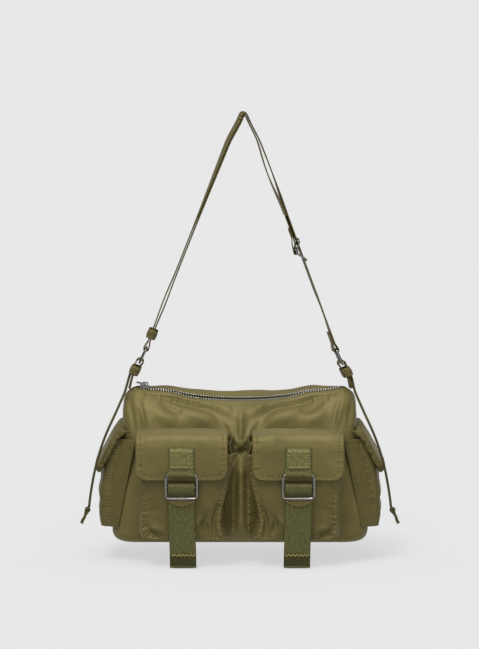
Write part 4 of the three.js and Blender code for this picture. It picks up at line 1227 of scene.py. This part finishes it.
def build_side_flap(name, side):
    """The flap over a side pocket, with a skirt turned down along its tip and its two sides."""
    flap_body = f"{name}_side_flap"
    path = spline(SIDE_FLAP, 60)[::-1]
    shares = np.linspace(0, 1, len(path))
    slopes = unit(np.gradient(path, axis=0))
    towards_body = smoothstep(shares, 0.78, 0.95)[:, None]
    inwards = np.stack([-slopes[:, 1], slopes[:, 0]], axis=1)
    inwards = unit(inwards * (1 - towards_body) + np.array([-0.96, -0.28]) * towards_body)
    skirt = SIDE_FLAP_SKIRT + 0.8 * np.sin(math.pi * shares) + 3 * towards_body[:, 0]
    left = np.clip(SIDE_FLAP_CORNER - distances(path), 0, SIDE_FLAP_CORNER)
    halves = SIDE_FLAP_HALF_DEPTH - SIDE_FLAP_CORNER + np.sqrt(SIDE_FLAP_CORNER**2 - 0.96 * left**2)
    halves -= 0.4 * smoothstep(shares, 0.58, 0.8)
    rows = []
    for (px, pz), inward, reach, half in zip(path, inwards, skirt, halves):
        edge = [(-half - 0.4, reach), (-half - 1.0, reach * 0.6), (-half - 0.6, 4.2), (-half + 0.4, 1.4)]
        front = [*edge, (-half + 3, 0.1), (-20, -0.6)]
        section = spline([*front, (0, -0.8), *[(-a, b) for a, b in front[::-1]]], 118)
        rows.append([(px + inward[0] * b, a, pz + inward[1] * b) for a, b in section])
    grid = np.array(rows)
    ys = grid[..., 1]
    relief = 0.4 * lumps(grid, 14, 41 + side)
    edge_wave = 0.3 * np.sin(np.arange(grid.shape[0]) / 2.6 + side)[:, None]
    relief += edge_wave * smoothstep(np.abs(ys), 37.5, 39)
    relief += 0.5 * pucker(ys, shares[:, None] * 62 + 0 * ys, [(-34, 4), (34, 4)], 0.9, 5, 1)
    grid = sided(raised(grid, relief), side)
    flap = cloth(f"{flap_body}_cloth", grid, 1.6, nylon_shaded, flap_body, "nylon", replaces=(flap_body,))
    along_tip = [(path[3][0] + 1, y, path[3][1]) for y in np.linspace(-36, 36, 30)]
    along_front = [(px - 1.9, -41.5, pz - 1.3) for px, pz in path[7:-12]]
    along_back = [(px, -y, pz) for px, y, pz in along_front]
    lines = [sided_line(line, side) for line in (along_tip, along_front, along_back)]
    stitches(f"{flap_body}_stitches", lines, surface_of(flap), flap_body)


def build_side_snap(name, side):
    """The snap between the side flap and the side pocket, square to the pocket's sloping face."""
    slope = side * SIDE_SNAP["lean"]
    outwards = np.array([math.sin(slope), 0, math.cos(slope)])
    halves = (("socket", SOCKET, 1, 1.3, "bag"), ("stud", STUD[::-1], -1, 3.7, f"{name}_side_flap"))
    for half, profile, facing, start, body_name in halves:
        centre = sided_line(SIDE_SNAP["place"], side) + start * outwards
        shape = [(r * SIDE_SNAP["radius"], facing * h * SIDE_SNAP["flatness"]) for r, h in profile]
        lathe(f"{name}_side_snap_{half}", shape, centre, "Z", slope, body_name)


for name, side in SIDES.items():
    build_side_pocket(name, side)
    build_side_flap(name, side)
    build_side_snap(name, side)


# ---- Strap ----
def run_of(down):
    """A run of the doubled strap: which way it goes down, and which way is outwards from its middle."""
    down = unit(down)
    side = math.copysign(1, down[0])
    return {"side": side, "down": down, "outward": np.array([-side * down[2], 0, side * down[0]])}


RUNS = {
    "left": run_of(-np.array(joints["left_keeper_slide"]["axis"])),
    "right": run_of(np.array(joints["adjuster_slide"]["axis"])),
}
# Places along a run, in millimetres from the fold at the top.
RING = {"top": 257, "length": 15.5, "width": 18.6}
SEWN_END, INNER_END, ADJUSTER = 234, 108, 146
ADJUSTER_SIZE = {"length": 22.4, "width": 18.6}
KEEPER = {"upper": 241.5, "lower": 281.8, "length": 8.6, "thickness": 9.6, "width": 17.6}
RISE = {-1: 3.8, 1: 4.6}  # how far up its run each side's ring and keepers sit
FOLD_FLATNESS = 0.85
APEX_PINCH = 3.0  # how far each run moves inwards at the fold
ANCHOR_BEND = {"outwards": 2.8, "at": 282, "reach": 15}  # the strap's bend near the lower keepers
ANCHOR_WEB = {"width": 12, "thickness": 1.2, "layer": 0.62, "turn": 3.4}
# How far the web turns about its run, at the fold, near the right ring and at the adjuster.
TOP_TWIST = math.radians(10)
RIGHT_TWIST = math.radians(9)
ADJUSTER_TWIST = math.radians(8)


def strap_point(run, s, offset, along_y=0.0):
    """A point s along a run, offset outwards and along_y across, and the web's width direction there."""
    twist = run["side"] * TOP_TWIST * (1 - 1.15 * float(smoothstep(s, 10, 140)))
    if run["side"] > 0:
        twist = 0.4 * twist + RIGHT_TWIST * float(smoothstep(s, 195, 240))
        twist += ADJUSTER_TWIST * float(smoothstep(s, 60, 96) * (1 - smoothstep(s, 190, 222)))
    width_way = np.array([0, 1, 0])
    out = run["outward"] * math.cos(twist) + width_way * math.sin(twist)
    across = width_way * math.cos(twist) - run["outward"] * math.sin(twist)
    pinch = APEX_PINCH * (1 - float(smoothstep(s, 0, 34)))
    bend = ANCHOR_BEND["outwards"] * math.exp(-(((s - ANCHOR_BEND["at"]) / ANCHOR_BEND["reach"]) ** 2))
    middle = FOLD_CENTRE + run["outward"] * (RUN_OFFSET - pinch + bend) + run["down"] * s
    return middle + out * offset + across * along_y, across


def slack(s, start, end, amount):
    """How far a layer bows away from the other one between start and end."""
    return amount * math.sin(math.pi * np.clip((s - start) / (end - start), 0, 1)) ** 2


def rise(run):
    """The rise of a run's ring and keepers."""
    return RISE[run["side"]]


def ring_top(run):
    """Where a side's ring has its upper bar, along the run."""
    return RING["top"] - rise(run)


def ring_loop(run):
    """The web's turn round the ring's upper bar."""
    top = ring_top(run)
    widen = [(top - 7, LAYER), (top - 3, 1.9)]
    turn = [(top + HOOK_RADIUS * s, HOOK_RADIUS * c) for c, s in arc(0, 180, 11)]
    back = [(s, -offset) for s, offset in widen[::-1]]
    return [strap_point(run, s, offset) for s, offset in [*widen, *turn, *back]]


def strap_fold(radius):
    """The web's turn at the top, from the right run over to the left one."""
    runs = RUNS["right"], RUNS["left"]
    tilts = [math.degrees(math.atan2(abs(run["down"][0]), -run["down"][2])) for run in runs]
    ways = [strap_point(run, 8, 0)[1] for run in runs]
    places = []
    for share, (c, s) in zip(np.linspace(0, 1, 15), arc(tilts[0], 180 - tilts[1], 15)):
        height = FOLD_FLATNESS * s + (1 - FOLD_FLATNESS) * 0.35
        place = FOLD_CENTRE + radius * np.array([c, 0, height])
        places.append((place, unit(ways[0] * (1 - share) + ways[1] * share)))
    return places


def strap_run(run, start, end, offset, bows=()):
    """Points down or up a run, bowed away from the other layer over each (start, end, amount)."""
    places = []
    for s in np.linspace(start, end, max(2, int(abs(end - start) / 2.5))):
        bow = sum(slack(s, *stretch) for stretch in bows)
        places.append(strap_point(run, s, offset + bow))
    return places


def build_strap():
    """The one long web: down the right run, round its ring, over the top to the left ring and back."""
    left, right = RUNS["left"], RUNS["right"]
    left_end, right_end = ring_top(left) - 8, ring_top(right) - 8
    places = [
        *strap_run(right, SEWN_END, right_end, -LAYER),
        *ring_loop(right)[::-1],
        *strap_run(right, right_end, 8, LAYER, [(20, 112, 0.6), (180, 240, 0.4)]),
        *strap_fold(RUN_OFFSET + LAYER - APEX_PINCH),
        *strap_run(left, 8, left_end, LAYER, [(165, 236, 0.8)]),
        *ring_loop(left),
        *strap_run(left, left_end, 8, -LAYER, [(175, 232, -0.5)]),
        *strap_fold(RUN_OFFSET - LAYER - APEX_PINCH)[::-1],
        *strap_run(right, 8, INNER_END, -LAYER, [(15, 108, -2.3)]),
    ]
    path, across = (np.array(part) for part in zip(*places))
    options = {"across": across, "origin": ROW, "replaces": ("shoulder_strap",)}
    web("strap_web", path, STRAP, 1.25, strap_webbing, "strap", "webbing", **options)


def build_sewn_end():
    """The strap's end, which goes round the adjuster's middle bar and back to itself."""
    centre, radius = -3.5, 2.05
    turn = [(ADJUSTER - radius * s, centre + radius * c) for c, s in arc(60, -180, 12)]
    start = [(INNER_END + 0.5, -1.0), (INNER_END + 20, -1.0), (ADJUSTER - 8, -1.7)]
    back = [(ADJUSTER - 9, -4.2), (ADJUSTER - 15, -2.6), (ADJUSTER - 24, -2.5)]
    fine = spline([*start, *turn, *back], 70)
    path = np.array([strap_point(RUNS["right"], s, offset)[0] for s, offset in fine])
    options = {"across": (0, -1, 0), "origin": ROW, "replaces": ("strap_sewn_end",)}
    web("strap_end_web", path, STRAP, 1.0, strap_webbing, "adjuster", "webbing", **options)


def build_adjuster():
    """A wire frame that bows so the strap runs between its middle bar and its two ends."""
    run = RUNS["right"]
    length, width = ADJUSTER_SIZE["length"], ADJUSTER_SIZE["width"]

    def bowed(y, b):
        offset = 2.75 - 6.25 * math.cos(math.pi * b / length) ** 2
        return strap_point(run, ADJUSTER + b, offset, y)[0]

    loop = rounded_loop(width, length, 2.4)
    outline = evenly(np.array([*loop, loop[0]]), 97)[:-1]
    wire = tube_mesh(np.array([bowed(a, b) for a, b in outline]), 0.95, 12, closed=True)
    bar = tube_mesh(np.array([bowed(a, 0) for a in np.linspace(-width / 2, width / 2, 5)]), 0.9, 12)
    options = {"origin": ROW, "replaces": ("strap_adjuster",)}
    joined("adjuster_wire", [wire, bar], nickel, "adjuster", "nickel", **options)


def band(name, run, middle, body_name, node):
    """A keeper: a strip of the bag's cloth wound round the doubled web and sewn to itself."""
    length = KEEPER["length"]
    rows = []
    for share in np.linspace(0, 1, 12):
        swell = 0.7 * math.sin(math.pi * share)
        loop = rounded_loop(KEEPER["thickness"] + swell, KEEPER["width"] + swell, 3.4, 8)
        s = middle + length / 2 - length * share
        rows.append([strap_point(run, s, a, b)[0] for a, b in loop])
    grid = np.array(rows)
    if run["side"] < 0:
        grid = grid[:, ::-1]
    grid = raised(grid, 0.2 * lumps(grid, 4, middle), wrap=True)
    options = {"wrap": True, "origin": ROW, "replaces": (node,)}
    surface = surface_of(cloth(name, grid, 1.1, nylon_shaded, body_name, "nylon", **options), ROW)
    lines = []
    for edge in (-length / 2 + 1.3, length / 2 - 1.3):
        lines.append([strap_point(run, middle + edge, a, -9.3)[0] for a in np.linspace(-3, 3, 6)])
    stitches(f"{name}_stitches", lines, surface, body_name, origin=ROW, pitch=2.0, length=1.4)


def build_ring(name, run):
    loop = rounded_loop(RING["width"], RING["length"], 2.6, 7)
    path = np.array([strap_point(run, ring_top(run) + RING["length"] / 2 + b, 0, a)[0] for a, b in loop])
    node = f"{name}_ring"
    tube(f"{node}_wire", path, 1.1, nickel, node, "nickel", 14, True, origin=ROW, replaces=(node,))


def build_anchor(name, run):
    """The web sewn into the bag's corner, doubled round the ring's lower bar."""
    bar = ring_top(run) + RING["length"]
    layer, radius = ANCHOR_WEB["layer"], ANCHOR_WEB["turn"]
    legs = [(run_end(run) - 2, layer), (bar + 8.6, layer), (bar + 4.8, 2.3)]
    turn = [(bar - radius * s, radius * c) for c, s in arc(0, 180, 11)]
    points = spline([*legs, *turn, *[(s, -offset) for s, offset in legs[::-1]]], 70)
    path, across = (np.array(part) for part in zip(*[strap_point(run, s, offset) for s, offset in points]))
    size = ANCHOR_WEB["width"], ANCHOR_WEB["thickness"]
    options = {"across": across * -run["side"], "origin": ROW, "replaces": (f"{name}_anchor",)}
    anchor = web(f"{name}_anchor_web", path, *size, strap_webbing, None, "webbing", **options)
    start, end = (strap_point(run, s, 0)[0] for s in (KEEPER["lower"] + 4, run_end(run)))
    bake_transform(anchor)


def build_keepers(name, run):
    band(f"{name}_lower_band", run, KEEPER["lower"] - rise(run), "strap", f"{name}_lower_keeper")
    if name == "left":
        band("left_upper_band", run, KEEPER["upper"] - rise(run), "left_upper_keeper", "left_upper_keeper")


def run_end(run):
    """How far down a run the bag's corner is."""
    corner = BAG + np.array([run["side"] * 110.3, 0, 146.2]) - FOLD_CENTRE
    return math.sqrt(float(corner @ corner) - RUN_OFFSET**2)


# ---- Side cords, hanging, each ending in its knot ----
CORD_RADIUS = 1.25
CORD_ROUTE = [
    (-114.6, -10, 147.5),
    (-116.9, -15.5, 142),
    (-119.6, -21, 136.5),
    (-122.3, -26.5, 131),
    (-125, -32, 125.5),
    (-130.4, -41.2, 114.8),
    (-135, -43.6, 104),
    (-139.2, -44.4, 92),
    (-142.9, -44.2, 79),
    (-145.8, -43.9, 66),
    (-148.1, -43.6, 53),
    (-149.7, -43.4, 42),
    (-150.4, -43.3, 35.6),
]


def knot_parts(side, end_point):
    """The knot at a cord's end: a trefoil, the short end below it and its frayed strands."""
    tilt = -side * math.radians(24)
    turned = np.array([[math.cos(tilt), 0, math.sin(tilt)], [0, 1, 0], [-math.sin(tilt), 0, math.cos(tilt)]])
    t = np.linspace(0, 2 * math.pi, 90, endpoint=False)
    wide, tall = 0.62 * (np.sin(t) + 2 * np.sin(2 * t)), 1.12 * (np.cos(t) - 2 * np.cos(2 * t))
    trefoil = np.stack([wide, 1.8 * np.sin(3 * t), tall], 1) + np.array([0, 0, -4.9])
    end = [(0, 0, 0.6), (0.2, 0, -4), (0, 0, -8.6), (0.3, 0.2, -12), (-0.2, 0, -15.4), (0.1, 0, -18.2)]
    end = spline(end, 24)
    parts = [tube_mesh(trefoil @ turned.T + end_point, 1.3, 10, closed=True)]
    parts.append(tube_mesh(end @ turned.T + end_point, np.linspace(1.2, 1.6, len(end)), 10))
    for angle in np.linspace(0, 300, 6):
        c, s = math.cos(math.radians(angle)), math.sin(math.radians(angle))
        strand = np.array([(0.7 * c, 0.7 * s, -17.6), (1.1 * c, 1.1 * s, -18.6), (1.5 * c, 1.4 * s, -19.3)])
        parts.append(tube_mesh(strand @ turned.T + end_point, np.array([0.4, 0.32, 0.15]), 6))
    return parts


def build_cord(name, run):
    """A cord that leaves its keeper and hangs to its knot."""
    side = run["side"]
    keeper_end = KEEPER["lower"] - rise(run) + KEEPER["length"] / 2
    first = strap_point(run, keeper_end + 1.2, 2.6)[0] * np.array([1, 0, 1])
    second = strap_point(run, keeper_end + 4, 3.0)[0] * np.array([1, 0, 1]) + np.array([0, -1.4, 0])
    hung = [np.array(point) * np.array([-side, 1, 1]) + BAG for point in CORD_ROUTE]
    route = spline([first, second, *hung], 110)
    options = {"origin": ROW, "replaces": (f"{name}_cord",)}
    cord = tube(f"{name}_cord_braid", route, CORD_RADIUS, cord_yarn, None, "cord", 12, **options)
    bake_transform(cord)
    options = {"origin": ROW, "replaces": (f"{name}_cord_knot",)}
    knot = joined(f"{name}_knot", knot_parts(side, route[-1]), cord_yarn, "bag", "cord", **options)


build_strap()
build_sewn_end()
build_adjuster()
for name, run in RUNS.items():
    build_ring(name, run)
    build_anchor(name, run)
    build_keepers(name, run)
    build_cord(name, run)


# ---- Floor and light ----
def plain_material(name, colour, glow):
    """A matt surface that also gives off a little of its own light, as a lit sweep does."""
    light = {"emission_strength": glow, "emission_color": (1, 1, 1, 1)}
    return Nodes(name, 0.9, specular=0.0, base_color=(*colour, 1), **light).material


FLOOR_DROP = 0.0015
FLOOR_REACH = 60.0
FLOOR_GREY = (0.13, 0.13, 0.13)


def build_floor():
    """A wide floor just below the hanging tails."""
    z = float((BAG[2] + tail_low[2]) * MM) - FLOOR_DROP
    corners = [(x * FLOOR_REACH, y * FLOOR_REACH, z) for x, y in ((-1, -1), (1, -1), (1, 1), (-1, 1))]
    mesh = bpy.data.meshes.new("floor")
    mesh.from_pydata(corners, [], [(0, 1, 2, 3)])
    mesh.materials.append(plain_material("floor", FLOOR_GREY, 0.6))
    floor = bpy.data.objects.new("floor", mesh)
    bpy.context.scene.collection.objects.link(floor)


build_floor()

# How bright the studio's walls are by height: dark below, bright above, as (height, level).
SKY_LEVELS = ((0.12, 0.06), (0.34, 0.1), (0.5, 0.95), (0.8, 0.75))
SKY_STRENGTH = 0.82

world = bpy.data.worlds.new("studio")
world.use_nodes = True
sky = world.node_tree
direction = sky.nodes.new("ShaderNodeTexCoord")
axes = sky.nodes.new("ShaderNodeSeparateXYZ")
height_ramp = sky.nodes.new("ShaderNodeValToRGB")
for place, level in SKY_LEVELS:
    stop = height_ramp.color_ramp.elements.new(place)
    stop.color = (level, level, level * 1.02, 1)
for end in (0, -1):
    height_ramp.color_ramp.elements[end].color = (0.05, 0.05, 0.05, 1)
sky.links.new(direction.outputs["Generated"], axes.inputs["Vector"])
sky.links.new(axes.outputs["Z"], height_ramp.inputs["Fac"])
sky.links.new(height_ramp.outputs["Color"], sky.nodes["Background"].inputs["Color"])
sky.nodes["Background"].inputs["Strength"].default_value = SKY_STRENGTH
bpy.context.scene.world = world

LIGHT_TARGET = Vector((0, 0, -0.34))


def add_sun(name, energy, location, spread):
    """A sun that faces the bag, with spread giving how soft its shadows are, in degrees."""
    data = bpy.data.lights.new(name, "SUN")
    data.energy = energy
    data.angle = math.radians(spread)
    light = bpy.data.objects.new(name, data)
    bpy.context.scene.collection.objects.link(light)
    light.location = location
    light.rotation_euler = (LIGHT_TARGET - Vector(location)).to_track_quat("-Z", "Y").to_euler()


add_sun("key", 2.0, (-0.7, -1.35, 2.1), 22)
add_sun("fill", 0.95, (0.35, -2.2, 0.3), 50)
add_sun("top", 1.6, (0.1, -0.5, 2.4), 40)

bpy.context.scene.view_settings.view_transform = "Standard"
